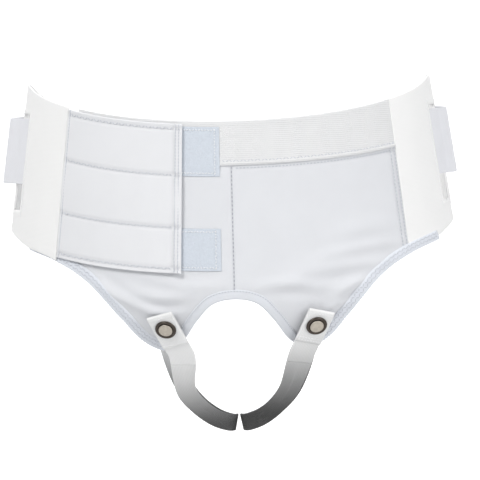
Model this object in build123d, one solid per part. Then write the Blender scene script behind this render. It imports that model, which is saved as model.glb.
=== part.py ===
from build123d import *
import math
import os

# Groin support belt, shown closed, as it sits on the wearer.
# Millimetres. +Z up, the front faces -Y, +X is the wearer's left side.
# Origin: on the vertical axis of the torso, 29.5 mm below the front top edge.

# ---- torso shape the belt is wrapped on ------------------------------------
HALF_WIDTH = 157.5        # torso half width at z = 0
WIDTH_FLARE = 0.145       # half width gained per mm downwards
HALF_DEPTH = 108.0        # torso half depth at z = 0
DEPTH_FLARE = 0.08        # half depth gained per mm downwards
ROLL_START = -86.0        # below this height the front curves back under the body
ROLL_RADIUS = 42.0        # radius of that curve where it starts

# ---- heights ---------------------------------------------------------------
SIDE_TOP = 58.5           # top edge at the hips
FRONT_TOP = 29.5          # top edge at the middle of the front
BACK_TOP = 10.0           # top edge at the middle of the back
SIDE_BOTTOM = -51.5       # bottom edge at the hips
FRONT_BOTTOM_SLOPE = 0.27
HIP_EASE = 30.0           # length, from front to hip, over which the edges level out
BACK_BOTTOM = -60.0
HEM_HEIGHT = 22.4         # waistband's lower edge, carried back to y = 0
HEM_SLOPE = 0.227

# ---- cloth -----------------------------------------------------------------
PANEL = 1.0               # cotton front panel and ribbed waistband
ELASTIC = 1.4             # side, back and strap elastic
LOOP_TAPE = 0.7
HOOK_TAPE = 0.8
PEEL_GAP = 0.3            # between hook and loop tape
LAP = 5.0                 # degrees that a lapped seam covers

# ---- angles round the torso, 0 at the front, plus towards +X ----------------
SIDE_SEAM = 50.0          # front panel to side elastic
PANEL_END = -47.0         # free end of the front panel, under the flap
FLAP_SEAM = -50.0         # peel line of the closure flap
FLAP_EDGE = -12.8         # free edge of the closure flap
BACK_SEAM = 112.0         # side elastic to back elastic
SEAM_GAP = 0.15           # degrees between the flap and the side elastic

# ---- closure flap ----------------------------------------------------------
FLAP_SLOPE = 0.33
FLAP_TOP = 63.0           # carried back to y = 0, like the hem height
FLAP_ROW_UPPER = 26.0     # stitch row under the upper hook strip
FLAP_LOWER_SLOPE = 0.30
FLAP_ROW_LOWER = -14.0    # stitch row above the lower hook strip
FLAP_BOTTOM = -46.0
TAPE_INSET = 2.0          # tape edge to flap edge
HOOK_SPAN = (-46.0, -16.0)
LOOP_SPAN = (-45.0, -3.0)
EDGE_BINDING = 2.6        # degrees covered by the binding on the free edge

# ---- leg line and arch of the front panel, seen from the front ---------------
LOBE_TIP = (51, -138)
LEG_LINE = [(HALF_WIDTH - 4.5, -62.8), (HALF_WIDTH - 27.5, -71), (HALF_WIDTH - 49.5, -84.5),
            (HALF_WIDTH - 73.5, -111), (LOBE_TIP[0] + 15, -131.5)]
ARCH_LINE = [(40, -132), (28, -115), (16, -102.5)]
ARCH_TOP = (0, -99)
BINDING_WIDTH = 7.0
BINDING_WALL = 0.8        # cloth of the binding outside the panel
EDGE_WEB = 1.0            # binding beyond the panel's cut edge

# ---- pockets and pads ------------------------------------------------------
LINING = 1.2
POCKET_DEPTH = 8.4
POCKET_RIM = 2.6          # degrees of sewn margin at each side of a pocket
POCKET_INNER = 1.0        # first angle of the lining, beside the centre seam
POCKET_OUTER = 47.0
POCKET_BOTTOM = -90.0
POCKET_RIM_HEIGHT = 4.0
PAD_THICKNESS = 5.0
PAD_WIDTH = 66.0
PAD_HEIGHT = 60.0
PAD_CORNER = 20.0
PAD_ANGLE = 23.0          # middle of a pad
PAD_CENTRE_Z = -48.0

# ---- snap fasteners --------------------------------------------------------
SNAP_X = {-1: 49.5, 1: 57.5}   # by side
SNAP_Z = -117.0
STUD_FLANGE_D = 12.4
STUD_FLANGE = 0.8
POST_D = 5.6
POST_HEIGHT = 2.2
SNAP_CLEARANCE = 0.4      # radial, post to socket
SOCKET_D = 12.0
SOCKET_LIFT = 0.3         # socket above the stud's flange
SOCKET_HEIGHT = 2.4
SOCKET_FLOOR = 0.5
BACK_D = 11.0
BACK_THICKNESS = 0.9
SHANK_D = 3.6
CAP_D = 15.6
CAP_HEIGHT = 2.3
CAP_RIM = 0.7

# ---- leg straps ------------------------------------------------------------
STRAP_WIDTH = 20.0
STRAP_LEAN = 25.0         # degrees that a strap end leans towards the middle
TAB_ABOVE = 12.5          # strap end above the snap's centre
TAB_BELOW = 27.0          # peel line below the snap's centre
TAB_FOLD = 17.0           # folded end reaches this far below the snap
TAB_GAP = 0.4
LEG_CENTRE = (77.0, 0.0)  # x, y of the line that a leg strap wraps round
# x, y, z, how far the face tips down (rise over run), width of the stretched elastic
STRAP_ROUTE = [(37.5, -65, -172, 1.0, 14.5), (28, -57, -184.5, 0.9, 13.5), (17, -45.5, -194, 0.6, 13),
               (7, -27, -199.8, 0.35, 13), (2.4, 0, -203, 0.2, 13), (7.2, 27, -206, 0.2, 13),
               (18, 46, -204, 0.3, 13), (30, 58, -197, 0.4, 13.5), (40, 67, -187, 0.4, 14.5),
               (46.5, 74, -175, 0.35, 15.5), (53, 84, -154, 0.3, 17.5), (58, 98, -121, 0.15, 20)]
ANCHOR_ANGLE = 158.5      # where a leg strap is sewn to the back
ANCHOR_TOP = -36.0
MEETS_BACK = (-93.0, -66.0)    # the strap runs in line with the back from here
ANCHOR_PATCH_HEIGHT = 14.0
ANCHOR_PATCH = 0.8

# ---- side straps -----------------------------------------------------------
SIDE_STRAP_TOP = 33.0
SIDE_STRAP_BOTTOM = -16.0
SLIT = (74.0, 84.5)
SLIT_TOP = 36.0
SLIT_BOTTOM = -36.0
BULGE = {-1: 14.0, 1: 9.5}     # strap fold's middle outside the torso shape, by side
TAB_ANGLES = (BACK_SEAM + 3.0, BACK_SEAM + 20.0)
TAB_TAPE_INSET = 2.0      # degrees

OUTER = PANEL + LOOP_TAPE + PEEL_GAP + HOOK_TAPE      # inside of the flap
RIGHT_BASE = 2 * ELASTIC  # inside of the right side elastic, which lies on the back elastic
FAR = 260.0
PROFILE_STEPS = 52
STRAP_STEPS = 3           # straight lengths between two route points


def half_width(z):
    return HALF_WIDTH - WIDTH_FLARE * z


def half_depth(z):
    return HALF_DEPTH - DEPTH_FLARE * z


def roll(z):
    return max(0.0, ROLL_START - z) ** 2 / (2 * ROLL_RADIUS)


def on_torso(phi, z, t=0.0):
    """Point at angle phi and height z, t outside the torso shape."""
    a = math.radians(phi)
    x = (half_width(z) + t) * math.sin(a)
    y = roll(z) - (half_depth(z) + t) * math.cos(a)
    return Vector(x, y, z)


def angle_at(x, z):
    return math.degrees(math.asin(x / half_width(z)))


def outward(phi, z):
    step = 0.01
    along = on_torso(phi + step, z) - on_torso(phi - step, z)
    up = on_torso(phi, z + step) - on_torso(phi, z - step)
    return along.cross(up).normalized()


def downward(phi, z):
    step = 0.01
    return (on_torso(phi, z - step) - on_torso(phi, z + step)).normalized()


# ---- cloth layers ----------------------------------------------------------
def level_wire(phi0, phi1, t0, t1, z):
    plane = Plane(origin=(0, roll(z), z))

    def arc(t):
        return Edge.make_ellipse(half_width(z) + t, half_depth(z) + t, plane, phi0 - 90, phi1 - 90)

    outer, inner = arc(t1), arc(t0)
    ends = [Edge.make_line(outer @ i, inner @ i) for i in (0, 1)]
    return Wire([outer, ends[1], inner, ends[0]])


def upper_layer(phi0, phi1, t0, t1, z0=ROLL_START, z1=SIDE_TOP + 10):
    """Cloth layer above the roll, from angle phi0 to phi1."""
    return Solid.make_loft([level_wire(phi0, phi1, t0, t1, z) for z in (z0, z1)], True)


def lower_layer(phi0, phi1, t0, t1, z0=-144.0, steps=6):
    """Cloth layer that curves under the body, below the start of the roll."""
    levels = [ROLL_START + (z0 - ROLL_START) * i / steps for i in range(steps + 1)]
    return Solid.make_loft([level_wire(phi0, phi1, t0, t1, z) for z in levels])


def front_layer(phi0, phi1, t0, t1):
    return upper_layer(phi0, phi1, t0, t1) + lower_layer(phi0, phi1, t0, t1)


def between(lower, upper, back=FAR):
    """Everything between two profiles, each a function of y, along all of X."""
    ys = [-FAR + (back + FAR) * i / PROFILE_STEPS for i in range(PROFILE_STEPS + 1)]
    edges = [Edge.make_spline([Vector(-FAR, y, height(y)) for y in ys]) for height in (lower, upper)]
    ends = [Edge.make_line(edges[0] @ i, edges[1] @ i) for i in (0, 1)]
    face = Face(Wire([edges[0], ends[1], edges[1], ends[0]]))
    return Solid.extrude(face, Vector(2 * FAR, 0, 0))


def hip_curve(y, front_slope, side, back):
    """Straight over the front, level at the hip, then an easy curve to the back."""
    if y < 0:
        eased = max(0.0, y + HIP_EASE) ** 2 / (2 * HIP_EASE)
        return side + front_slope * (y + HIP_EASE / 2 - eased)
    share = min(1.0, y / HALF_DEPTH)
    return back + (side - back) * (1 + math.cos(math.pi * share)) / 2


def top_edge(y):
    slope = (SIDE_TOP - FRONT_TOP) / (HALF_DEPTH - HIP_EASE / 2)
    return hip_curve(y, slope, SIDE_TOP, BACK_TOP)


def bottom_edge(y):
    return hip_curve(y, FRONT_BOTTOM_SLOPE, SIDE_BOTTOM, BACK_BOTTOM)


def hem_edge(y):
    return HEM_HEIGHT + HEM_SLOPE * y


def sloped(height, slope):
    return lambda y: height + slope * y


def band(height):
    return lambda y: height


def one(shape):
    """The single solid of a boolean result."""
    solids = shape.solids()
    return max(solids, key=lambda s: s.volume) if len(solids) > 1 else solids[0]


# ---- front outline ---------------------------------------------------------
def inset_curve(points, inset):
    """Spline through points on y = 0, moved by inset towards the cloth above it."""
    curve = Edge.make_spline(points)
    steps = 2 * (len(points) - 1)
    moved = []
    for i in range(steps + 1):
        ahead = curve % (i / steps)
        moved.append(curve @ (i / steps) + Vector(ahead.Z, 0, -ahead.X) * inset)
    return Edge.make_spline(moved)


def front_outline(inset=0.0, arch=True):
    """Face on the XZ plane: the cloth above the leg lines and the arch."""
    right = [Vector(x, 0, z) for x, z in LEG_LINE + [LOBE_TIP]]
    bend = [Vector(x, 0, z) for x, z in ARCH_LINE]
    if arch:
        points = right + bend + [Vector(ARCH_TOP[0], 0, ARCH_TOP[1])]
        points += [Vector(-p.X, 0, p.Z) for p in reversed(right + bend)]
        lower = [inset_curve(points, inset)]
    else:
        sides = [inset_curve(right, inset)]
        sides.append(inset_curve([Vector(-p.X, 0, p.Z) for p in reversed(right)], inset))
        lower = [sides[0], Edge.make_line(sides[0] @ 1, sides[1] @ 0), sides[1]]
    start, end = lower[0] @ 0, lower[-1] @ 1
    corners = [end, Vector(-FAR, 0, end.Z + 20), Vector(-FAR, 0, FAR), Vector(FAR, 0, FAR)]
    corners += [Vector(FAR, 0, start.Z + 20), start]
    return Face(Wire(lower + [Edge.make_line(p, q) for p, q in zip(corners, corners[1:])]))


def front_prism(face):
    return Solid.extrude(face.moved(Location((0, -FAR, 0))), Vector(0, FAR - 20, 0))


def window(x0, x1, z0, z1):
    return Pos((x0 + x1) / 2, 0, (z0 + z1) / 2) * Box(abs(x1 - x0), 4 * FAR, z1 - z0)


WHOLE = front_prism(front_outline())
CUT_EDGE = front_prism(front_outline(EDGE_WEB))
INSIDE_BINDING = front_prism(front_outline(BINDING_WIDTH))


def front_panel(side):
    phis = (PANEL_END, 0) if side < 0 else (0, SIDE_SEAM)
    return one(front_layer(*phis, 0, PANEL) & between(band(-FAR), hem_edge) & CUT_EDGE)


def edge_binding(phi0, phi1, x0, x1, panels):
    """Folded tape over the cut edge of the front panel, a U in section."""
    tape = front_layer(phi0, phi1, -BINDING_WALL, PANEL + BINDING_WALL)
    tape = (tape & WHOLE & window(x0, x1, -FAR, -60)) - INSIDE_BINDING
    for panel in panels:
        tape = tape - panel
    return one(tape)


# ---- pockets ---------------------------------------------------------------
def pocket_lining(side):
    def layer(inset, t0):
        phis = sorted(side * p for p in (POCKET_INNER + inset, POCKET_OUTER - inset))
        return front_layer(*phis, t0, 0)

    inside_leg = front_prism(front_outline(BINDING_WIDTH, arch=False))
    margin = front_prism(front_outline(BINDING_WIDTH + POCKET_RIM_HEIGHT, arch=False))
    tray = layer(0, -POCKET_DEPTH - LINING) & between(band(POCKET_BOTTOM), hem_edge) & inside_leg
    hollow = layer(POCKET_RIM, -POCKET_DEPTH) & between(band(POCKET_BOTTOM + POCKET_RIM_HEIGHT), band(FAR))
    return one(tray - (hollow & margin))


def foam_pad(side):
    x = on_torso(side * PAD_ANGLE, PAD_CENTRE_Z).X
    plan = RectangleRounded(PAD_WIDTH, PAD_HEIGHT, PAD_CORNER)
    face = (Plane(origin=(x, -FAR, PAD_CENTRE_Z), z_dir=(0, 1, 0), x_dir=(1, 0, 0)) * plan).face()
    prism = Solid.extrude(face, Vector(0, FAR, 0))
    slack = (POCKET_DEPTH - PAD_THICKNESS) / 2
    phis = sorted((side * (PAD_ANGLE - 20), side * (PAD_ANGLE + 20)))
    return one(upper_layer(*phis, slack - POCKET_DEPTH, -slack) & prism)


# ---- closure ---------------------------------------------------------------
def closure_tape(span, t0, t1, upper):
    if upper:
        lo = sloped(FLAP_ROW_UPPER, FLAP_SLOPE)
        hi = sloped(FLAP_TOP - TAPE_INSET, FLAP_SLOPE)
    else:
        lo = sloped(FLAP_BOTTOM + TAPE_INSET, FLAP_LOWER_SLOPE)
        hi = sloped(FLAP_ROW_LOWER, FLAP_LOWER_SLOPE)
    return one(upper_layer(*span, t0, t1) & between(lo, hi))


FLAP_SHAPE = between(sloped(FLAP_BOTTOM, FLAP_LOWER_SLOPE), sloped(FLAP_TOP, FLAP_SLOPE))


def flap_binding():
    phis = (FLAP_EDGE - EDGE_BINDING, FLAP_EDGE + 0.4)
    tape = upper_layer(*phis, OUTER - PEEL_GAP, OUTER + ELASTIC + PEEL_GAP)
    slot = upper_layer(phis[0] - 1, FLAP_EDGE, OUTER, OUTER + ELASTIC)
    return one((tape - slot) & FLAP_SHAPE)


# ---- side and back elastic ---------------------------------------------------
def slit(side):
    phis = sorted(side * p for p in SLIT)
    return upper_layer(*phis, -5, 12, SLIT_BOTTOM, SLIT_TOP)


def side_elastic(side):
    phis, t0 = ((SIDE_SEAM, BACK_SEAM), 0) if side > 0 else ((-BACK_SEAM, FLAP_SEAM - SEAM_GAP), RIGHT_BASE)
    wall = upper_layer(*phis, t0, t0 + ELASTIC) & between(bottom_edge, top_edge)
    return one(wall - slit(side))


def back_elastic():
    phis = (BACK_SEAM - LAP, 360 - BACK_SEAM + LAP)
    return one(upper_layer(*phis, ELASTIC, 2 * ELASTIC) & between(bottom_edge, top_edge))


# ---- side straps -------------------------------------------------------------
TAB_INSIDE = 2 * ELASTIC + LOOP_TAPE + PEEL_GAP + HOOK_TAPE     # inside of a side tab


def ribbon(path, z0, z1, thickness):
    """Upright strap that follows (angle, offset) pairs round the torso."""
    def section(z):
        sides = []
        for shift in (0, thickness):
            sides.append(Edge.make_spline([on_torso(phi, z, t + shift) for phi, t in path]))
        ends = [Edge.make_line(sides[0] @ i, sides[1] @ i) for i in (0, 1)]
        return Wire([sides[0], ends[1], sides[1], ends[0]])

    return Solid.make_loft([section(z) for z in (z0, z1)], True)


def side_strap(side):
    base = ELASTIC if side > 0 else RIGHT_BASE + ELASTIC
    bulge = BULGE[side]
    first, last = SLIT
    half = ELASTIC / 2
    inner = base - 2 * ELASTIC - 1.0
    path = [(first - 14, inner), (first - 8, inner), (first - 2, inner), (first + 2.6, base - 2 * ELASTIC + 0.9),
            (last - 1.2, base + half), (last + 1.2, base + 3.4), (last + 5.5, bulge - 1),
            (last + 12, bulge), (BACK_SEAM - 10, TAB_INSIDE + 0.6 * (bulge - TAB_INSIDE)),
            (BACK_SEAM - 3, TAB_INSIDE + 0.8), (TAB_ANGLES[0] - SEAM_GAP, TAB_INSIDE)]
    return ribbon([(side * p, t) for p, t in path], SIDE_STRAP_BOTTOM, SIDE_STRAP_TOP, ELASTIC)


def side_tab_layer(side, inset, t0, t1):
    phis = sorted(side * p for p in (TAB_ANGLES[0] + inset, TAB_ANGLES[1] - inset))
    return upper_layer(*phis, t0, t1, SIDE_STRAP_BOTTOM + inset, SIDE_STRAP_TOP - inset)


def side_tab(side):
    return side_tab_layer(side, 0, TAB_INSIDE, TAB_INSIDE + ELASTIC)


def side_hook(side):
    return side_tab_layer(side, TAB_TAPE_INSET, TAB_INSIDE - HOOK_TAPE, TAB_INSIDE)


def side_loop(side):
    phis = sorted(side * p for p in TAB_ANGLES)
    patch = upper_layer(*phis, 2 * ELASTIC, 2 * ELASTIC + LOOP_TAPE, SIDE_STRAP_BOTTOM, SIDE_STRAP_TOP)
    return one(patch & between(bottom_edge, top_edge))


# ---- snaps -------------------------------------------------------------------
class SnapPlace:
    """Plane on the front panel at one snap: its Z points outwards, its X along the strap."""

    def __init__(self, side):
        phi = side * angle_at(SNAP_X[side], SNAP_Z)
        normal = outward(phi, SNAP_Z)
        down = downward(phi, SNAP_Z).rotate(Axis((0, 0, 0), normal), side * -STRAP_LEAN)
        self.plane = Plane(origin=on_torso(phi, SNAP_Z, PANEL), x_dir=down, z_dir=normal)
        self.across = self.plane.y_dir

    def at(self, along, height):
        return self.plane.origin + self.plane.x_dir * along + self.plane.z_dir * height

    def disc(self, diameter, low, high, along=0.0):
        disc = Cylinder(diameter / 2, high - low, align=(Align.CENTER, Align.CENTER, Align.MIN))
        return self.plane * Pos(along, 0, low) * disc

    def slab(self, x0, x1, z0, z1):
        box = Box(x1 - x0, STRAP_WIDTH, z1 - z0, align=(Align.MIN, Align.CENTER, Align.MIN))
        return self.plane * Pos(x0, 0, z0) * box


SOCKET_BASE = STUD_FLANGE + SOCKET_LIFT
WEB_BASE = SOCKET_BASE + SOCKET_HEIGHT           # underside of the strap end
WEB_TOP = WEB_BASE + ELASTIC
CAP_BASE = WEB_TOP + ELASTIC                     # the strap end is folded double


def snap_stud(place):
    return one(place.disc(STUD_FLANGE_D, 0, STUD_FLANGE) + place.disc(POST_D, 0, STUD_FLANGE + POST_HEIGHT))


def snap_back(place):
    plate = place.disc(BACK_D, -PANEL - BACK_THICKNESS, -PANEL)
    return one(plate + place.disc(SHANK_D, -PANEL - BACK_THICKNESS, 0))


def snap_socket(place):
    bore = place.disc(POST_D + 2 * SNAP_CLEARANCE, SOCKET_BASE, WEB_BASE - SOCKET_FLOOR)
    return one(place.disc(SOCKET_D, SOCKET_BASE, WEB_BASE) - bore)


def snap_cap(place):
    rim = Cylinder(CAP_D / 2, CAP_RIM, align=(Align.CENTER, Align.CENTER, Align.MIN))
    rise = CAP_HEIGHT - CAP_RIM
    radius = ((CAP_D / 2) ** 2 + rise ** 2) / (2 * rise)
    dome = Pos(0, 0, CAP_HEIGHT - radius) * Sphere(radius)
    dome &= Pos(0, 0, CAP_RIM) * Cylinder(CAP_D / 2, 2 * rise, align=(Align.CENTER, Align.CENTER, Align.MIN))
    rivet = Pos(0, 0, WEB_BASE - CAP_BASE) * Cylinder(SHANK_D / 2, CAP_BASE - WEB_BASE,
                                                      align=(Align.CENTER, Align.CENTER, Align.MIN))
    return one(place.plane * Pos(0, 0, CAP_BASE) * (rim + dome + rivet))


def strap_tab(place):
    web = place.slab(-TAB_ABOVE, TAB_BELOW - TAB_GAP, WEB_BASE, WEB_TOP)
    fold = place.slab(-TAB_ABOVE, TAB_FOLD, WEB_TOP, CAP_BASE)
    return one(web + fold - place.disc(SHANK_D, WEB_BASE, CAP_BASE))


# ---- leg straps --------------------------------------------------------------
def strap_sections(side, place):
    """Strap middle line: points, the direction each faces, and the width there."""
    rows = [(place.at(TAB_BELOW, (WEB_BASE + WEB_TOP) / 2), place.plane.z_dir, STRAP_WIDTH)]
    for x, y, z, tip, width in STRAP_ROUTE:
        away = Vector(x - LEG_CENTRE[0], y - LEG_CENTRE[1], 0).normalized()
        rows.append((Vector(side * x, y, z), Vector(side * away.X, away.Y, -tip).normalized(), width))
    for z in (*MEETS_BACK, ANCHOR_TOP):
        phi = side * ANCHOR_ANGLE
        rows.append((on_torso(phi, z, 2.5 * ELASTIC + 0.1), outward(phi, z), STRAP_WIDTH))
    return rows


def leg_strap(side, place):
    rows = strap_sections(side, place)
    ends = [place.plane.x_dir, downward(side * ANCHOR_ANGLE, ANCHOR_TOP) * -1]
    route = Edge.make_spline([row[0] for row in rows], ends)
    stations = [route.param_at_point(row[0]) for row in rows]
    wires = []
    for u0, u1, before, after in zip(stations, stations[1:], rows, rows[1:]):
        for step in range(STRAP_STEPS):
            share = step / STRAP_STEPS
            facing = before[1] * (1 - share) + after[1] * share
            width = before[2] * (1 - share) + after[2] * share
            wires.append(strap_section(route, u0 + (u1 - u0) * share, facing, width))
    wires.append(strap_section(route, 1.0, *rows[-1][1:]))
    return Solid.make_loft(wires, True)


def strap_section(route, u, facing, width):
    ahead = route % u
    across = ahead.cross(facing).normalized()
    plane = Plane(origin=route @ u, x_dir=across, z_dir=ahead)
    return (plane * Rectangle(width, ELASTIC)).face().outer_wire()


def strap_anchor(side):
    z0 = ANCHOR_TOP - ANCHOR_PATCH_HEIGHT
    reach = math.degrees(STRAP_WIDTH / 2 / half_depth(z0)) + 1.0
    phis = sorted((side * (ANCHOR_ANGLE - reach), side * (ANCHOR_ANGLE + reach)))
    t0 = 3 * ELASTIC + 0.35
    return upper_layer(*phis, t0, t0 + ANCHOR_PATCH, z0, ANCHOR_TOP + 3)


# ---- the whole belt ----------------------------------------------------------
def build():
    nodes = {}
    waistband = upper_layer(PANEL_END, SIDE_SEAM, 0, PANEL) & between(hem_edge, top_edge, 0)
    nodes["waistband_front"] = one(waistband)
    nodes["back_elastic"] = back_elastic()
    nodes["closure_flap"] = one(upper_layer(FLAP_SEAM, FLAP_EDGE, OUTER, OUTER + ELASTIC) & FLAP_SHAPE)
    nodes["flap_edge_binding"] = flap_binding()
    for name, upper in (("upper", True), ("lower", False)):
        nodes[f"hook_strip_{name}"] = closure_tape(HOOK_SPAN, OUTER - HOOK_TAPE, OUTER, upper)
        nodes[f"loop_pad_{name}"] = closure_tape(LOOP_SPAN, PANEL, PANEL + LOOP_TAPE, upper)
    panels = {side: front_panel(side) for side in (-1, 1)}
    nodes["arch_binding"] = edge_binding(-25, 25, -LOBE_TIP[0], LOBE_TIP[0], panels.values())
    for side, name in ((-1, "right"), (1, "left")):
        place = SnapPlace(side)
        stud, back = snap_stud(place), snap_back(place)
        nodes[f"front_panel_{name}"] = one(panels[side] - stud - back)
        edging = (LOBE_TIP[0], HALF_WIDTH) if side > 0 else (-HALF_WIDTH, -LOBE_TIP[0])
        phis = (10, SIDE_SEAM) if side > 0 else (PANEL_END, -10)
        nodes[f"leg_edging_{name}"] = edge_binding(*phis, *edging, [panels[side]])
        nodes[f"pocket_lining_{name}"] = pocket_lining(side)
        nodes[f"foam_pad_{name}"] = foam_pad(side)
        nodes[f"side_elastic_{name}"] = side_elastic(side)
        nodes[f"side_strap_{name}"] = side_strap(side)
        nodes[f"side_tab_{name}"] = side_tab(side)
        nodes[f"side_hook_{name}"] = side_hook(side)
        nodes[f"side_loop_{name}"] = side_loop(side)
        nodes[f"snap_stud_{name}"] = stud
        nodes[f"snap_back_{name}"] = back
        nodes[f"snap_socket_{name}"] = snap_socket(place)
        nodes[f"snap_cap_{name}"] = snap_cap(place)
        nodes[f"strap_tab_{name}"] = strap_tab(place)
        nodes[f"leg_strap_{name}"] = leg_strap(side, place)
        nodes[f"strap_anchor_{name}"] = strap_anchor(side)
    return nodes


os.makedirs("parts", exist_ok=True)
for node, shape in build().items():
    export_step(shape, f"parts/{node}.step")
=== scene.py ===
import math

import bmesh
import bpy
import numpy as np
from mathutils import Matrix, Vector


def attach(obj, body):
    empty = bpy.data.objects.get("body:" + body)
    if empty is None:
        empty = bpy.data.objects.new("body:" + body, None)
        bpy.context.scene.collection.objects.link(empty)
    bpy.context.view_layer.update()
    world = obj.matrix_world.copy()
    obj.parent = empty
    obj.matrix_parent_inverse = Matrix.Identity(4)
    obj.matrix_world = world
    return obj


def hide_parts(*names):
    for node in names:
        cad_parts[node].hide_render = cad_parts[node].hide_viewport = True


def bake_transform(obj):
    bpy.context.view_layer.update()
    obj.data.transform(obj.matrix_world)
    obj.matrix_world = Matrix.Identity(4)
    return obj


# A white groin support belt as it sits on the wearer. Cloth is laid out in millimetres on the
# torso shape (angle round the body, height, distance off the skin) and made in metres.

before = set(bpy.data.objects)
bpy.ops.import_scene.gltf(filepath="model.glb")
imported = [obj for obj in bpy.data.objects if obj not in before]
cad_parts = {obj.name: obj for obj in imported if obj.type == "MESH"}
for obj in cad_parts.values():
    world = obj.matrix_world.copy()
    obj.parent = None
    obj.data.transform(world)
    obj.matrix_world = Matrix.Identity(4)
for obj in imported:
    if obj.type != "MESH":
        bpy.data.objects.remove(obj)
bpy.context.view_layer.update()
MM = 0.001

# ---- torso shape, as in the frame -------------------------------------------
HALF_WIDTH, WIDTH_FLARE = 157.5, 0.145
HALF_DEPTH, DEPTH_FLARE = 108.0, 0.08
ROLL_START, ROLL_RADIUS = -86.0, 42.0

# ---- edges of the belt --------------------------------------------------------
SIDE_TOP, FRONT_TOP, BACK_TOP = 58.5, 29.5, 10.0
SIDE_BOTTOM, FRONT_BOTTOM_SLOPE, BACK_BOTTOM = -51.5, 0.27, -60.0
HIP_EASE = 30.0
HEM_HEIGHT, HEM_SLOPE = 22.4, 0.227
FLAP_TOP, FLAP_ROW_UPPER, FLAP_SLOPE = 63.0, 26.0, 0.33
FLAP_BOTTOM, FLAP_ROW_LOWER, FLAP_LOWER_SLOPE = -46.0, -14.0, 0.30
LOBE_TIP = (51, -138)
LEG_LINE = [(HALF_WIDTH - 4.5, -62.8), (HALF_WIDTH - 27.5, -71), (HALF_WIDTH - 49.5, -84.5),
            (HALF_WIDTH - 73.5, -111), (LOBE_TIP[0] + 15, -131.5)]
ARCH_LINE = [(40, -132), (28, -115), (16, -102.5)]
ARCH_TOP = (0, -99)

# ---- angles ---------------------------------------------------------------------
SIDE_SEAM, PANEL_END = 50.0, -47.0
FLAP_SEAM, FLAP_EDGE = -50.0, -12.8
BACK_SEAM, LAP = 112.0, 5.0
HOOK_SPAN, LOOP_SPAN = (-46.0, -16.0), (-45.0, -3.0)
SLIT, SLIT_TOP, SLIT_BOTTOM = (74.0, 84.5), 36.0, -36.0
TAB_ANGLES = (BACK_SEAM + 3.0, BACK_SEAM + 20.0)
ANCHOR_ANGLE = 158.5
EDGING_END, EDGING_FADE = 71.0, 8.0

# ---- layers off the skin ----------------------------------------------------------
PANEL, ELASTIC, LOOP_TAPE, HOOK_TAPE, PEEL_GAP = 1.0, 1.4, 0.7, 0.8, 0.3
OUTER = PANEL + LOOP_TAPE + PEEL_GAP + HOOK_TAPE
RIGHT_BASE = 2 * ELASTIC
TAB_INSIDE = 2 * ELASTIC + LOOP_TAPE + PEEL_GAP + HOOK_TAPE
LINING, POCKET_DEPTH = 1.2, 8.4


# ==== torso shape ====================================================================
def half_width(z):
    return HALF_WIDTH - WIDTH_FLARE * z


def half_depth(z):
    return HALF_DEPTH - DEPTH_FLARE * z


def torso(phi, z, t=0.0):
    """Points in millimetres at angle phi, height z and distance t off the skin."""
    phi, z, t = np.broadcast_arrays(np.asarray(phi, float), np.asarray(z, float), np.asarray(t, float))
    a = np.radians(phi)
    roll = np.maximum(0.0, ROLL_START - z) ** 2 / (2 * ROLL_RADIUS)
    return np.stack([(half_width(z) + t) * np.sin(a), roll - (half_depth(z) + t) * np.cos(a), z], -1)


def outward(phi, z):
    step = 0.02
    along = torso(phi + step, z) - torso(phi - step, z)
    up = torso(phi, z + step) - torso(phi, z - step)
    return unit(np.cross(along, up))


def unit(v):
    return v / np.linalg.norm(v, axis=-1, keepdims=True)


def run_length(points):
    """Length walked along points, 0 at the first."""
    return np.concatenate([[0], np.cumsum(np.linalg.norm(np.diff(points, axis=0), axis=1))])


_ARC_PHI = np.linspace(-200, 200, 1601)
_ARC_LEN = run_length(torso(_ARC_PHI, 0.0))
_PROFILE_Z = np.linspace(80, -150, 921)
_PROFILE_LEN = run_length(torso(0.0, _PROFILE_Z))


def cloth_uv(phi, z):
    """Lengths along the cloth, in metres, so a weave keeps its size."""
    u = np.interp(phi, _ARC_PHI, _ARC_LEN)
    v = -np.interp(-np.asarray(z, float), -_PROFILE_Z, _PROFILE_LEN)
    return u * MM, v * MM


# ==== edges ============================================================================
def hip_curve(y, front_slope, side, back):
    eased = np.maximum(0.0, y + HIP_EASE) ** 2 / (2 * HIP_EASE)
    front = side + front_slope * (y + HIP_EASE / 2 - eased)
    share = np.clip(y / HALF_DEPTH, 0, 1)
    rear = back + (side - back) * (1 + np.cos(np.pi * share)) / 2
    return np.where(y < 0, front, rear)


def edge_height(phi, line):
    """Height at which a line, a function of y, crosses each angle."""
    z = np.zeros_like(np.asarray(phi, float))
    for _ in range(12):
        z = line(-half_depth(z) * np.cos(np.radians(phi)))
    return z


def top_edge(phi):
    slope = (SIDE_TOP - FRONT_TOP) / (HALF_DEPTH - HIP_EASE / 2)
    return edge_height(phi, lambda y: hip_curve(y, slope, SIDE_TOP, BACK_TOP))


def bottom_edge(phi):
    return edge_height(phi, lambda y: hip_curve(y, FRONT_BOTTOM_SLOPE, SIDE_BOTTOM, BACK_BOTTOM))


def level(height):
    """An edge at one height all along."""
    return lambda phi: np.full_like(np.asarray(phi, float), height)


def sloped(phi, height, slope):
    return edge_height(phi, lambda y: height + slope * y)


def hem(phi):
    return sloped(phi, HEM_HEIGHT, HEM_SLOPE)


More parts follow.
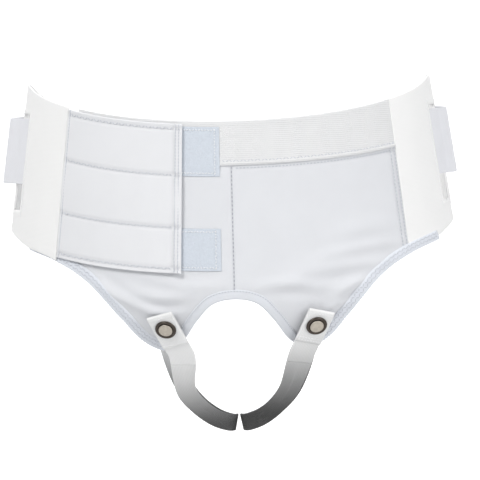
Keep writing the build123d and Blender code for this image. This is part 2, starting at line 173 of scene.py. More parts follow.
def smooth_path(points, per_run=12):
    """Even curve through points: centripetal Catmull-Rom."""
    p = np.asarray(points, float)
    p = np.vstack([2 * p[0] - p[1], p, 2 * p[-1] - p[-2]])
    out = []
    for a, b, c, d in zip(p, p[1:], p[2:], p[3:]):
        knots = np.cumsum([0] + [np.linalg.norm(q - r) ** 0.5 for q, r in ((b, a), (c, b), (d, c))])
        t = np.linspace(knots[1], knots[2], per_run, endpoint=False)[:, None]
        k0, k1, k2, k3 = knots
        ab, bc, cd = ((k1 - t) * a + (t - k0) * b) / (k1 - k0), ((k2 - t) * b + (t - k1) * c) / (k2 - k1), \
            ((k3 - t) * c + (t - k2) * d) / (k3 - k2)
        abc, bcd = ((k2 - t) * ab + (t - k0) * bc) / (k2 - k0), ((k3 - t) * bc + (t - k1) * cd) / (k3 - k1)
        out.append(((k2 - t) * abc + (t - k1) * bcd) / (k2 - k1))
    return np.vstack(out + [p[-2:-1]])


def evenly(path, pitch):
    """Points every pitch along a path of any width of columns, by its first three."""
    path = np.asarray(path, float)
    length = run_length(path[:, :3])
    count = max(2, int(round(length[-1] / pitch)) + 1)
    at = np.linspace(0, length[-1], count)
    return np.stack([np.interp(at, length, column) for column in path.T], 1)


_lower_half = smooth_path(LEG_LINE + [LOBE_TIP] + ARCH_LINE + [ARCH_TOP, (-16, -102.5)], 16)
LOWER_EDGE = _lower_half[_lower_half[:, 0] >= 0][::-1]


def lower_edge(x):
    """Height of the panel's lower edge, leg line and arch, at a distance from the middle."""
    return np.interp(np.abs(x), LOWER_EDGE[:, 0], LOWER_EDGE[:, 1])


def panel_bottom(phi):
    z = np.full_like(np.asarray(phi, float), -110.0)
    for _ in range(25):
        z = 0.5 * z + 0.5 * lower_edge(half_width(z) * np.sin(np.radians(phi)))
    return z


# ==== meshes ==============================================================================
def graded(count, length):
    """0 to 1 in even steps, with close rows beside both ends for a rounded edge."""
    close = np.array([0, 0.08, 0.22, 0.45, 0.8]) / length
    middle = np.linspace(close[-1] * 2, 1 - close[-1] * 2, count)
    return np.concatenate([close, middle, 1 - close[::-1]])


def make_mesh(name, verts, faces, uvs=None):
    mesh = bpy.data.meshes.new(name)
    mesh.from_pydata((np.asarray(verts) * MM).tolist(), [], [tuple(int(i) for i in f) for f in faces])
    if uvs is not None:
        layer = mesh.uv_layers.new(name="UVMap")
        loops = np.empty(len(mesh.loops), dtype=np.int32)
        mesh.loops.foreach_get("vertex_index", loops)
        layer.data.foreach_set("uv", np.asarray(uvs)[loops].ravel())
    mesh.polygons.foreach_set("use_smooth", [True] * len(mesh.polygons))
    mesh.update()
    piece = bpy.data.objects.new(name, mesh)
    bpy.context.scene.collection.objects.link(piece)
    return piece


def shell_faces(nu, nv, hole=None):
    """Closed shell of two nu by nv grids: outer first, then inner. Hole hides cells."""
    def v(i, j, layer):
        return layer * nu * nv + i * nv + j

    kept = np.ones((nu - 1, nv - 1), bool)
    if hole is not None:
        kept &= ~hole
    faces = []
    for i in range(nu - 1):
        for j in range(nv - 1):
            if not kept[i, j]:
                continue
            faces.append((v(i, j, 0), v(i + 1, j, 0), v(i + 1, j + 1, 0), v(i, j + 1, 0)))
            faces.append((v(i, j, 1), v(i, j + 1, 1), v(i + 1, j + 1, 1), v(i + 1, j, 1)))
            if i == 0 or not kept[i - 1, j]:
                faces.append((v(i, j, 0), v(i, j + 1, 0), v(i, j + 1, 1), v(i, j, 1)))
            if i == nu - 2 or not kept[i + 1, j]:
                faces.append((v(i + 1, j + 1, 0), v(i + 1, j, 0), v(i + 1, j, 1), v(i + 1, j + 1, 1)))
            if j == 0 or not kept[i, j - 1]:
                faces.append((v(i + 1, j, 0), v(i, j, 0), v(i, j, 1), v(i + 1, j, 1)))
            if j == nv - 2 or not kept[i, j + 1]:
                faces.append((v(i, j + 1, 0), v(i + 1, j + 1, 0), v(i + 1, j + 1, 1), v(i, j + 1, 1)))
    return faces


def edge_drop(points, radius, square=None):
    """How far a rounded edge falls away, from each grid point's distance to the border."""
    su = np.concatenate([np.zeros((1, points.shape[1])),
                         np.cumsum(np.linalg.norm(np.diff(points, axis=0), axis=2), axis=0)])
    sv = np.concatenate([np.zeros((points.shape[0], 1)),
                         np.cumsum(np.linalg.norm(np.diff(points, axis=1), axis=2), axis=1)], axis=1)
    ends = {"first": su[-1:] - su, "last": su}.get(square, np.minimum(su, su[-1:] - su))
    border = np.minimum(ends, np.minimum(sv, sv[:, -1:] - sv))
    inside = np.minimum(border, radius)
    return radius - np.sqrt(np.maximum(0, radius ** 2 - (radius - inside) ** 2)), su, sv


def cloth(name, phi, z, t0, t1, relief=0.0, inner_relief=None, hole=None, rounding=None):
    """Cloth shell over a grid of angles (rows) and heights (columns)."""
    radius = (t1 - t0) / 2 * 0.96 if rounding is None else rounding
    drop, _, _ = edge_drop(torso(phi, z, t1), radius)
    inner_relief = relief if inner_relief is None else inner_relief
    outer = torso(phi, z, t1 - drop + relief)
    inner = torso(phi, z, t0 + drop + inner_relief)
    u, v = cloth_uv(phi, z)
    uv = np.stack([u.ravel(), v.ravel()], 1)
    verts = np.concatenate([outer.reshape(-1, 3), inner.reshape(-1, 3)])
    faces = shell_faces(*phi.shape, hole)
    piece = make_mesh(name, verts, faces, np.concatenate([uv, uv]))
    if hole is not None:
        drop_loose(piece)
    return piece


def clean(piece, action):
    """Do one clean-up action on a piece's mesh."""
    mesh = bmesh.new()
    mesh.from_mesh(piece.data)
    action(mesh)
    mesh.to_mesh(piece.data)
    mesh.free()


def drop_loose(piece):
    def loose(mesh):
        return [v for v in mesh.verts if not v.link_faces]

    clean(piece, lambda m: bmesh.ops.delete(m, geom=loose(m), context="VERTS"))


def cloth_grid(phi0, phi1, low, high, step=1.5):
    """Grid of angles and heights between two edges, each a function of the angle."""
    width = np.ptp(np.interp([phi0, phi1], _ARC_PHI, _ARC_LEN))
    columns = phi0 + (phi1 - phi0) * graded(max(4, int(width / step)), width)
    bottom, top = low(columns), high(columns)
    tall = float(np.mean(top - bottom))
    rows = graded(max(4, int(tall / step)), tall)
    z = bottom[:, None] + (top - bottom)[:, None] * rows[None, :]
    return np.repeat(columns[:, None], len(rows), 1), z


def ribbon(name, centre, out, width, thickness, relief=None, across_steps=14, square=None):
    """Strap that follows centre points; out is the way its face looks at each. Square is the end, first
    or last, that another length carries on from."""
    centre, out = np.asarray(centre, float), unit(np.asarray(out, float))
    ahead = unit(np.gradient(centre, axis=0))
    across = unit(np.cross(ahead, out))
    out = unit(np.cross(across, ahead))
    width = np.broadcast_to(np.asarray(width, float), (len(centre),))
    share = graded(across_steps, float(width.mean())) - 0.5
    grid = centre[:, None] + across[:, None] * (share[None, :, None] * width[:, None, None])
    half = thickness / 2
    drop, su, sv = edge_drop(grid, half * 0.96, square)
    lift = 0.0 if relief is None else relief(su, sv)
    outer = grid + out[:, None] * (half - drop + lift)[..., None]
    inner = grid - out[:, None] * (half - drop - (0 if relief is None else lift * 0.5))[..., None]
    uv = np.stack([(sv * MM).ravel(), (su * MM).ravel()], 1)
    faces = [f[::-1] for f in shell_faces(len(centre), len(share))]
    verts = np.concatenate([outer.reshape(-1, 3), inner.reshape(-1, 3)])
    return make_mesh(name, verts, faces, np.concatenate([uv, uv]))


def lathe(name, place, profile, segments=64):
    """Turned piece about a plane's normal: profile is (radius, height) pairs, closed at the axis."""
    ring = np.linspace(0, 2 * np.pi, segments, endpoint=False)
    verts, faces = [], []
    for r, h in profile[1:-1]:
        verts += [place.at(r * math.cos(a), h, r * math.sin(a)) for a in ring]
    rows = len(profile) - 2
    for row in range(rows - 1):
        for k in range(segments):
            a, b = row * segments + k, row * segments + (k + 1) % segments
            faces.append((a, b, b + segments, a + segments))
    bottom, top = len(verts), len(verts) + 1
    verts += [place.at(0, profile[0][1], 0), place.at(0, profile[-1][1], 0)]
    for k in range(segments):
        faces.append((bottom, (k + 1) % segments, k))
        last = (rows - 1) * segments
        faces.append((top, last + k, last + (k + 1) % segments))
    return make_mesh(name, verts, faces)


# ==== materials ==============================================================================
class Nodes:
    """Short hand for building a material's node tree."""

    def __init__(self, name):
        self.material = bpy.data.materials.new(name)
        self.material.use_nodes = True
        self.tree = self.material.node_tree
        self.shader = self.tree.nodes["Principled BSDF"]
        self.uv = None

    def add(self, kind, **inputs):
        node = self.tree.nodes.new(kind)
        for key, value in inputs.items():
            setattr(node, key, value)
        return node

    def link(self, source, target):
        self.tree.links.new(source, target)

    def math(self, operation, a, b=None, c=None):
        node = self.add("ShaderNodeMath", operation=operation)
        for socket, value in zip(node.inputs, (a, b, c)):
            if value is None:
                continue
            if isinstance(value, (int, float)):
                socket.default_value = value
            else:
                self.link(value, socket)
        return node.outputs[0]

    def uv_axes(self):
        if self.uv is None:
            split = self.add("ShaderNodeSeparateXYZ")
            self.link(self.add("ShaderNodeUVMap", uv_map="UVMap").outputs[0], split.inputs[0])
            self.uv = split.outputs[0], split.outputs[1]
        return self.uv

    def wave(self, value, pitch, phase=0.0):
        return self.math("SINE", self.math("MULTIPLY_ADD", value, 2 * math.pi / pitch, phase))

    def noise(self, scale, detail=3.0, roughness=0.55):
        node = self.add("ShaderNodeTexNoise")
        node.inputs["Scale"].default_value = scale
        node.inputs["Detail"].default_value = detail
        node.inputs["Roughness"].default_value = roughness
        self.link(self.add("ShaderNodeTexCoord").outputs["Object"], node.inputs["Vector"])
        return node.outputs["Fac"]

    def ramp(self, value, stops):
        node = self.add("ShaderNodeValToRGB")
        ramp = node.color_ramp
        while len(ramp.elements) < len(stops):
            ramp.elements.new(0.5)
        for element, (position, colour) in zip(ramp.elements, stops):
            element.position = position
            element.color = (*colour, 1.0)
        self.link(value, node.inputs[0])
        return node.outputs[0]

    def mix(self, share, a, b):
        node = self.add("ShaderNodeMix", data_type="RGBA")
        for socket, value in ((node.inputs[0], share), (node.inputs[6], a), (node.inputs[7], b)):
            if isinstance(value, (int, float)):
                socket.default_value = value
            elif isinstance(value, tuple):
                socket.default_value = (*value, 1.0)
            else:
                self.link(value, socket)
        return node.outputs[2]

    def bump(self, height, distance, strength=0.6):
        node = self.add("ShaderNodeBump")
        node.inputs["Strength"].default_value = strength
        node.inputs["Distance"].default_value = distance
        self.link(height, node.inputs["Height"])
        self.link(node.outputs[0], self.shader.inputs["Normal"])

    def finish(self, colour=None, roughness=0.85, sheen=0.15, metallic=0.0):
        if colour is not None:
            self.link(colour, self.shader.inputs["Base Color"])
        self.shader.inputs["Roughness"].default_value = roughness
        self.shader.inputs["Metallic"].default_value = metallic
        self.shader.inputs["Sheen Weight"].default_value = sheen
        self.shader.inputs["Specular IOR Level"].default_value = 0.25
        return self.material


def tinted(colour, factor):
    return tuple(c * factor for c in colour)


def woven(name, colour, thread=0.45, rib=0.0, rib_depth=0.4, thread_depth=0.5, shade=0.90, fuzz=0.3):
    """White cloth: crossing threads, optional crosswise ribs, fine fuzz, with painted shade in the thread and
    rib hollows. Sizes in mm.
    """
    n = Nodes(name)
    u, v = n.uv_axes()
    threads = n.math("MULTIPLY", n.wave(u, thread * MM), n.wave(v, thread * MM))
    height = n.math("MULTIPLY", threads, thread_depth)
    # painted shade: the colour is darkest where the thread and rib waves are low, following the bump; the
    # noise adds a random tone on top
    tone = n.math("MULTIPLY_ADD", threads, 0.5, 0.5)
    if rib:
        ribs = n.math("ABSOLUTE", n.math("SINE", n.math("MULTIPLY", v, math.pi / (rib * MM))))
        height = n.math("MULTIPLY_ADD", ribs, rib_depth * 2, height)
        tone = n.math("MULTIPLY_ADD", ribs, 0.7, n.math("MULTIPLY", tone, 0.3))
    height = n.math("MULTIPLY_ADD", n.noise(900.0, 4.0), fuzz, height)
    tone = n.math("MULTIPLY_ADD", n.noise(60.0, 3.0), 0.5, n.math("MULTIPLY", tone, 0.75))
    n.bump(height, 0.00022)
    return n.finish(n.ramp(tone, [(0.1, tinted(colour, shade)), (0.75, colour)]))


def brushed_loop(name, colour):
    """Brushed nylon pile."""
    n = Nodes(name)
    pile = n.add("ShaderNodeTexVoronoi")
    pile.inputs["Scale"].default_value = 1500.0
    n.link(n.add("ShaderNodeTexCoord").outputs["Object"], pile.inputs["Vector"])
    tone = n.math("MULTIPLY_ADD", n.noise(500.0, 5.0), 0.7, n.math("MULTIPLY", pile.outputs["Distance"], 0.4))
    n.bump(n.math("ADD", pile.outputs["Distance"], n.noise(1400.0)), 0.0003, 0.8)
    return n.finish(n.ramp(tone, [(0.2, tinted(colour, 0.88)), (0.7, colour)]), 0.95, 0.35)


def grained(name, colour, scale, detail, depth, strength, roughness):
    """One even grain: thread, nylon or foam."""
    n = Nodes(name)
    tone = n.noise(scale, detail)
    n.bump(tone, depth, strength)
    return n.finish(n.ramp(tone, [(0.3, tinted(colour, 0.85)), (0.7, colour)]), roughness, 0.2)


def thread_material(name, colour):
    return grained(name, colour, 2500.0, 2.0, 0.0001, 0.5, 0.7)


def plated(name, colour, roughness):
    n = Nodes(name)
    brushed = n.noise(700.0, 4.0)
    n.bump(brushed, 0.00004, 0.3)
    tone = n.math("MULTIPLY_ADD", n.noise(220.0, 3.0), 0.6, n.math("MULTIPLY", brushed, 0.4))
    return n.finish(n.ramp(tone, [(0.3, tinted(colour, 0.72)), (0.7, colour)]), roughness, 0.0, 1.0)


def strap_weave_with_painted_shadow(name, colour, shadow_colour, low, high):
    """Narrow elastic: lengthwise cords, crosswise picks, painted shade between the cords, and painted shadow
    that darkens it from low to high mm down.
    """
    n = Nodes(name)
    u, v = n.uv_axes()
    cords = n.math("ABSOLUTE", n.math("SINE", n.math("MULTIPLY", u, math.pi / (1.1 * MM))))
    picks = n.wave(v, 0.8 * MM)
    height = n.math("MULTIPLY_ADD", picks, 0.25, n.math("MULTIPLY", cords, 0.7))
    height = n.math("MULTIPLY_ADD", n.noise(900.0), 0.3, height)
    n.bump(height, 0.00025)
    tone = n.math("MULTIPLY_ADD", cords, 0.5, n.math("MULTIPLY_ADD", picks, 0.1, 0.35))
    white = n.ramp(tone, [(0.1, tinted(colour, 0.86)), (0.8, colour)])
    # painted shadow: the white strap fades to the near black shadow colour by height, standing in for the
    # shade between the legs
    split = n.add("ShaderNodeSeparateXYZ")
    n.link(n.add("ShaderNodeTexCoord").outputs["Object"], split.inputs[0])
    depth = n.math("MULTIPLY", split.outputs[2], -1.0)
    share = n.add("ShaderNodeMapRange", interpolation_type="SMOOTHSTEP")
    for key, value in (("From Min", low * MM), ("From Max", high * MM), ("To Min", 0.0), ("To Max", 1.0)):
        share.inputs[key].default_value = value
    n.link(depth, share.inputs["Value"])
    return n.finish(n.mix(share.outputs[0], white, shadow_colour))


COTTON = woven("cotton_twill", (0.745, 0.755, 0.785), thread=0.42, shade=0.92)
RIBBED = woven("ribbed_elastic", (0.77, 0.772, 0.78), thread=0.5, rib=1.45, rib_depth=0.6, shade=0.82)
PLAIN = woven("plain_elastic", (0.875, 0.872, 0.868), thread=0.7, rib=0.9, rib_depth=0.25, shade=0.93)
JERSEY = woven("flap_jersey", (0.785, 0.79, 0.812), thread=0.5, shade=0.93)
TAPE = woven("binding_tape", (0.765, 0.785, 0.83), thread=0.4, shade=0.93)
EDGING = woven("edging_elastic", (0.74, 0.765, 0.82), thread=0.9, rib=1.2, rib_depth=0.5, shade=0.86)
LINING_CLOTH = woven("lining_cloth", (0.82, 0.83, 0.85), thread=0.8)
SIDE_STRAP = woven("side_strap_elastic", (0.78, 0.785, 0.82), thread=0.8, rib=1.1, rib_depth=0.4, shade=0.88)
LOOP = brushed_loop("loop_pile", (0.60, 0.645, 0.71))
HOOK = thread_material("hook_nylon", (0.80, 0.81, 0.82))
THREAD = thread_material("white_thread", (0.92, 0.925, 0.94))
GREY_THREAD = thread_material("grey_thread", (0.50, 0.51, 0.57))
PALE_THREAD = thread_material("pale_grey_thread", (0.60, 0.62, 0.67))
# painted shadow: each leg strap darkens towards the crotch for the shade between the legs, the left one from
# higher up than the right
SHADE_PAINTED_STRAPS = {side: strap_weave_with_painted_shadow(f"strap_elastic_{name}", (0.84, 0.84, 0.84), (0.055, 0.055, 0.055), *depth)
          for side, name, depth in ((-1, "right", (145.0, 204.0)), (1, "left", (119.0, 195.0)))}
PAD_FOAM = grained("pad_foam", (0.84, 0.83, 0.79), 1200.0, 4.0, 0.0002, 0.6, 0.9)
CAP_FACE = plated("snap_nickel", (0.63, 0.575, 0.50), 0.48)
# painted reflection: the nickel rim is coloured near black for the dark surroundings its rolled edge mirrors
CAP_RIM_PAINTED_REFLECTION = plated("snap_rim", (0.10, 0.085, 0.075), 0.35)


def dress(piece, material, body="root", replaces=()):
    piece.data.materials.clear()
    piece.data.materials.append(material)
    if body:
        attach(piece, body)
    if replaces:
        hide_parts(*replaces)
    return piece


# ==== stitches ===============================================================================
def stitch_tree():
    """Geometry nodes: a thread stitch on every point, lying along its own direction."""
    tree = bpy.data.node_groups.new("thread_stitches", "GeometryNodeTree")
    face = tree.interface
    face.new_socket("Geometry", in_out="INPUT", socket_type="NodeSocketGeometry")
    for name in ("Length", "Thickness"):
        face.new_socket(name, in_out="INPUT", socket_type="NodeSocketFloat")
    face.new_socket("Thread", in_out="INPUT", socket_type="NodeSocketMaterial")
    face.new_socket("Geometry", in_out="OUTPUT", socket_type="NodeSocketGeometry")
    new, link = tree.nodes.new, tree.links.new
    start, end = new("NodeGroupInput"), new("NodeGroupOutput")
    ball = new("GeometryNodeMeshUVSphere")
    ball.inputs["Segments"].default_value = 6
    ball.inputs["Rings"].default_value = 5
    ball.inputs["Radius"].default_value = 0.5
    size = new("ShaderNodeCombineXYZ")
    link(start.outputs["Length"], size.inputs[0])
    link(start.outputs["Thickness"], size.inputs[1])
    link(start.outputs["Thickness"], size.inputs[2])
    shaped = new("GeometryNodeTransform")
    link(ball.outputs["Mesh"], shaped.inputs["Geometry"])
    link(size.outputs[0], shaped.inputs["Scale"])
    axes = new("FunctionNodeAxesToRotation")
    axes.primary_axis, axes.secondary_axis = "X", "Z"
    for name, socket in (("along", axes.inputs[0]), ("facing", axes.inputs[1])):
        read = new("GeometryNodeInputNamedAttribute")
        read.data_type = "FLOAT_VECTOR"
        read.inputs["Name"].default_value = name
        link(read.outputs["Attribute"], socket)
    place = new("GeometryNodeInstanceOnPoints")
    link(start.outputs["Geometry"], place.inputs["Points"])
    link(shaped.outputs["Geometry"], place.inputs["Instance"])
    link(axes.outputs[0], place.inputs["Rotation"])
    real = new("GeometryNodeRealizeInstances")
    smooth = new("GeometryNodeSetShadeSmooth")
    paint = new("GeometryNodeSetMaterial")
    link(place.outputs[0], real.inputs[0])
    link(real.outputs[0], smooth.inputs["Geometry"])
    link(smooth.outputs[0], paint.inputs["Geometry"])
    link(start.outputs["Thread"], paint.inputs["Material"])
    link(paint.outputs[0], end.inputs[0])
    return tree


STITCHES = stitch_tree()


def sew(name, rows, material, length=2.0, thickness=0.55):
    """One mesh of stitches from rows of (points, along, facing), in millimetres."""
    points, along, facing = (np.concatenate([np.asarray(r[k], float) for r in rows]) for k in range(3))
    base = make_mesh(name, points, [])
    for key, values in (("along", along), ("facing", facing)):
        attribute = base.data.attributes.new(key, "FLOAT_VECTOR", "POINT")
        attribute.data.foreach_set("vector", unit(values).ravel())
    modifier = base.modifiers.new("stitches", "NODES")
    modifier.node_group = STITCHES
    values = {"Length": length * MM, "Thickness": thickness * MM, "Thread": material}
    for item in STITCHES.interface.items_tree:
        if item.in_out == "INPUT" and item.name in values:
            modifier[item.identifier] = values[item.name]
    return bake(base, name)


def bake(piece, name):
    graph = bpy.context.evaluated_depsgraph_get()
    graph.update()
    mesh = bpy.data.meshes.new_from_object(piece.evaluated_get(graph))
    bpy.data.objects.remove(piece)
    mesh.name = name
    result = bpy.data.objects.new(name, mesh)
    bpy.context.scene.collection.objects.link(result)
    return result


def swung(along, facing, pitch, zigzag):
    """Turn every second stitch the other way, for a zigzag row."""
    if not zigzag:
        return along
    swing = np.where(np.arange(len(along)) % 2, 1.0, -1.0)[:, None]
    return unit(along * pitch + np.cross(facing, along) * swing * zigzag)


def stitch_row(phi_z, t, pitch=2.6, zigzag=0.0):
    """Stitches along a line of (angle, height) pairs at distance t off the skin."""
    line = np.asarray(phi_z, float)
    path = evenly(np.hstack([torso(line[:, 0], line[:, 1], t), line]), pitch)
    points, phi, z = path[:, :3], path[:, 3], path[:, 4]
    facing = outward(phi, z)
    return points, swung(unit(np.gradient(points, axis=0)), facing, pitch, zigzag), facing


def stitch_box(phi0, phi1, z0, z1, t, zigzag=0.0):
    """Four rows round a box of angles and heights."""
    corners = [(phi0, z0), (phi1, z0), (phi1, z1), (phi0, z1)]
    return [stitch_row([a, b], t, 2.4, zigzag) for a, b in zip(corners, corners[1:] + corners[:1])]


def along_edge(phi0, phi1, line, inset=0.0, steps=60):
    phi = np.linspace(phi0, phi1, steps)
    return np.stack([phi, line(phi) + inset], 1)


def along_angle(phi, low, high, steps=30):
    z = np.linspace(low, high, steps)
    return np.stack([np.full(steps, phi), z], 1)


def bell(distance, width):
    """1 on a line and falling off beside it: a dimple under stitches, or a raised edge."""
    return np.exp(-(distance / width) ** 2)


# ==== waistband, side and back elastic ===========================================================
def ribs(z, pitch=1.45, depth=0.16):
    return depth * (np.abs(np.sin(np.pi * z / pitch)) - 0.6)


def make_waistband():
    phi, z = cloth_grid(PANEL_END, SIDE_SEAM, hem, top_edge, 2.0)
    columns = phi[:, 0]
    tall = float(np.mean(top_edge(columns) - hem(columns)))
    rows = graded(int(tall / 0.34), tall)
    low, high = hem(columns), top_edge(columns)
    z = low[:, None] + (high - low)[:, None] * rows[None, :]
    phi = np.repeat(columns[:, None], len(rows), 1)
    above = z - low[:, None]
    below = high[:, None] - z
    relief = ribs(above) * np.clip(below / 4, 0, 1)
    lip = 1.1 * bell(above - 1.6, 1.4) * np.clip((phi - LOOP_SPAN[1]) / 0.4, 0, 1)
    selvage = 0.25 * bell(below - 1.5, 1.6)
    piece = cloth("waistband_elastic", phi, z, 0.0, PANEL, relief + lip + selvage, 0.0)
    dress(piece, RIBBED, replaces=["waistband_front"])
    rows = [stitch_row(along_edge(-2.0, SIDE_SEAM - 1, hem, 3.4), PANEL + 0.4, 2.6, 2.0)]
    seam = sew("waistband_hem_stitches", rows, PALE_THREAD, 2.5, 0.6)
    dress(seam, PALE_THREAD)
    return piece


def make_side_elastic(side, name):
    if side > 0:
        phi0, phi1, base = SIDE_SEAM, BACK_SEAM, 0.0
    else:
        phi0, phi1, base = -BACK_SEAM, FLAP_SEAM - 0.15, RIGHT_BASE
    low, high = SLIT

    def bottom(p):
        reach = np.abs(half_width(LEG_LINE[0][1]) * np.sin(np.radians(p)))
        near_edging = np.clip((EDGING_END - np.abs(p)) / EDGING_FADE, 0, 1)
        return bottom_edge(p) + near_edging * np.minimum(0, lower_edge(reach) + 1.5 - bottom_edge(p))

    phi, z = cloth_grid(phi0, phi1, bottom, top_edge, 1.6)
    columns, rows = np.abs(phi), z
    middle_phi = (columns[:-1, :-1] + columns[1:, 1:]) / 2
    middle_z = (rows[:-1, :-1] + rows[1:, 1:]) / 2
    hole = (middle_phi > low) & (middle_phi < high) & (middle_z > SLIT_BOTTOM) & (middle_z < SLIT_TOP)
    wave = 0.35 * np.sin(columns * 0.21 + side) * np.sin(rows * 0.05)
    edge = 0.3 * bell(rows - bottom_edge(phi) - 2, 2)
    rim_gap = np.maximum(np.maximum(low - columns, columns - high) * 1.9,
                         np.maximum(SLIT_BOTTOM - rows, rows - SLIT_TOP))
    rim = 0.5 * bell(rim_gap - 1.5, 1.6)
    outside = wave * 0.4 + edge + rim
    piece = cloth(f"side_elastic_cloth_{name}", phi, z, base, base + ELASTIC, outside, wave * 0.4, hole)
    dress(piece, PLAIN, replaces=[f"side_elastic_{name}"])
    t = base + ELASTIC + 0.3
    rows = stitch_box(side * (low - 1.6), side * (high + 1.6), SLIT_BOTTOM - 3, SLIT_TOP + 3, t, 1.6)
    for offset in (1.2, 3.6):
        phi_seam = side * (BACK_SEAM - offset)
        z0, z1 = float(bottom_edge(phi_seam)) + 2, float(top_edge(phi_seam)) - 2
        shift = 0.0 if side < 0 else 1.2
        phi_row = phi_seam if side < 0 else BACK_SEAM - LAP + offset
        rows.append(stitch_row(along_angle(phi_row, z0, z1), t + shift, 2.6))
    dress(sew(f"side_elastic_stitches_{name}", rows, THREAD), THREAD)
    return piece


def make_back():
    phi, z = cloth_grid(BACK_SEAM - LAP, 360 - BACK_SEAM + LAP, bottom_edge, top_edge, 2.0)
    edge = 0.3 * bell(z - bottom_edge(phi) - 2, 2) + 0.3 * bell(top_edge(phi) - z - 2, 2)
    ripple = 0.3 * np.sin(np.radians(phi) * 26) * np.sin(z * 0.06)
    piece = cloth("back_elastic_cloth", phi, z, ELASTIC, 2 * ELASTIC, edge + ripple * 0.5, ripple * 0.5)
    return dress(piece, PLAIN, replaces=["back_elastic"])


# ==== front panel, bindings ======================================================================
FOLD_STRENGTH = 1.35
# Soft folds: from (x, z) to (x, z), width and height in mm
FOLDS = [((126, -62), (52, -74), 5.0, 1.9), ((114, -76), (40, -84), 5.5, 2.3),
         ((100, -86), (68, -104), 4.5, 2.3), ((72, -93), (12, -91), 4.5, 1.9),
         ((88, -102), (60, -116), 3.5, 1.7), ((122, -50), (70, -58), 7.0, 1.2),
         ((-104, -82), (-60, -106), 4.0, 2.0), ((-84, -92), (-26, -96), 5.0, 2.0),
         ((-72, -104), (-34, -108), 4.0, 2.2), ((-60, -84), (-8, -88), 4.5, 1.4)]


def fold_relief(x, z):
    relief = np.zeros_like(x)
    for (x0, z0), (x1, z1), width, height in FOLDS:
        length = math.hypot(x1 - x0, z1 - z0)
        ux, uz = (x1 - x0) / length, (z1 - z0) / length
        along = (x - x0) * ux + (z - z0) * uz
        off = (x - x0) * -uz + (z - z0) * ux + 3.0 * np.sin(np.pi * np.clip(along / length, 0, 1))
        taper = np.sin(np.pi * np.clip((along + length * 0.15) / (length * 1.3), 0, 1)) ** 1.5
        profile = bell(off, width) - 0.45 * bell(off - width * 1.5, width)
        relief += FOLD_STRENGTH * height * taper * profile
    return relief


SIDE_ROWS = (0.6, 2.2)    # the pocket's double row, degrees in front of the side seam
MM_PER_DEGREE = 2.6       # along the cloth at the hip


def make_front_panel(side, name):
    phi0, phi1 = (PANEL_END, 0.0) if side < 0 else (0.0, SIDE_SEAM)

    def bottom(phi):
        return panel_bottom(phi) + 0.9

    phi, z = cloth_grid(phi0, phi1, bottom, hem, 1.25)
    x = torso(phi, z)[..., 0]
    free = np.clip((z - panel_bottom(phi)) / 9.0, 0, 1)
    under_tape = (phi < LOOP_SPAN[1]) & (z > -84)
    folds = np.where(under_tape, np.minimum(fold_relief(x, z), 0), fold_relief(x, z)) * free
    seam = -0.45 * bell(np.abs(x), 1.8)
    for row in SIDE_ROWS:
        seam = seam - 0.5 * bell((np.abs(phi) - SIDE_SEAM + row) * MM_PER_DEGREE, 1.1)
    under_hem = -0.6 * bell(hem(phi) - z - 1.0, 2.0)
    piece = cloth(f"front_panel_cloth_{name}", phi, z, 0.0, PANEL, folds + seam + under_hem, folds * 0.6)
    return dress(piece, COTTON, replaces=[f"front_panel_{name}"])


def edge_point(s, inset, path):
    """Angle and height on the panel at a place on its lower edge, moved inside by inset."""
    def spot(length):
        return np.stack([np.interp(length, path[:, 2], path[:, k]) for k in (0, 1)], -1)

    step = 0.5
    ahead = unit(spot(s + step) - spot(s - step))
    inside = np.stack([-ahead[..., 1], ahead[..., 0]], -1)
    moved = spot(s) + inside * np.asarray(inset)[..., None]
    x, z = moved[..., 0], moved[..., 1]
    return np.degrees(np.arcsin(np.clip(x / half_width(z), -1, 1))), z


def measured(path):
    """An edge path with the length walked as its third column."""
    return np.column_stack([path, run_length(path)])


ARCH_PATH = measured(np.vstack([LOWER_EDGE[LOWER_EDGE[:, 0] <= LOBE_TIP[0]][::-1] * [-1, 1],
                                LOWER_EDGE[LOWER_EDGE[:, 0] <= LOBE_TIP[0]][1:]]))


def leg_path(side):
    legs = LOWER_EDGE[(LOWER_EDGE[:, 0] >= LOBE_TIP[0] - 0.5) & (LOWER_EDGE[:, 0] <= 152)]
    return measured(legs if side > 0 else (legs * [-1, 1])[::-1])


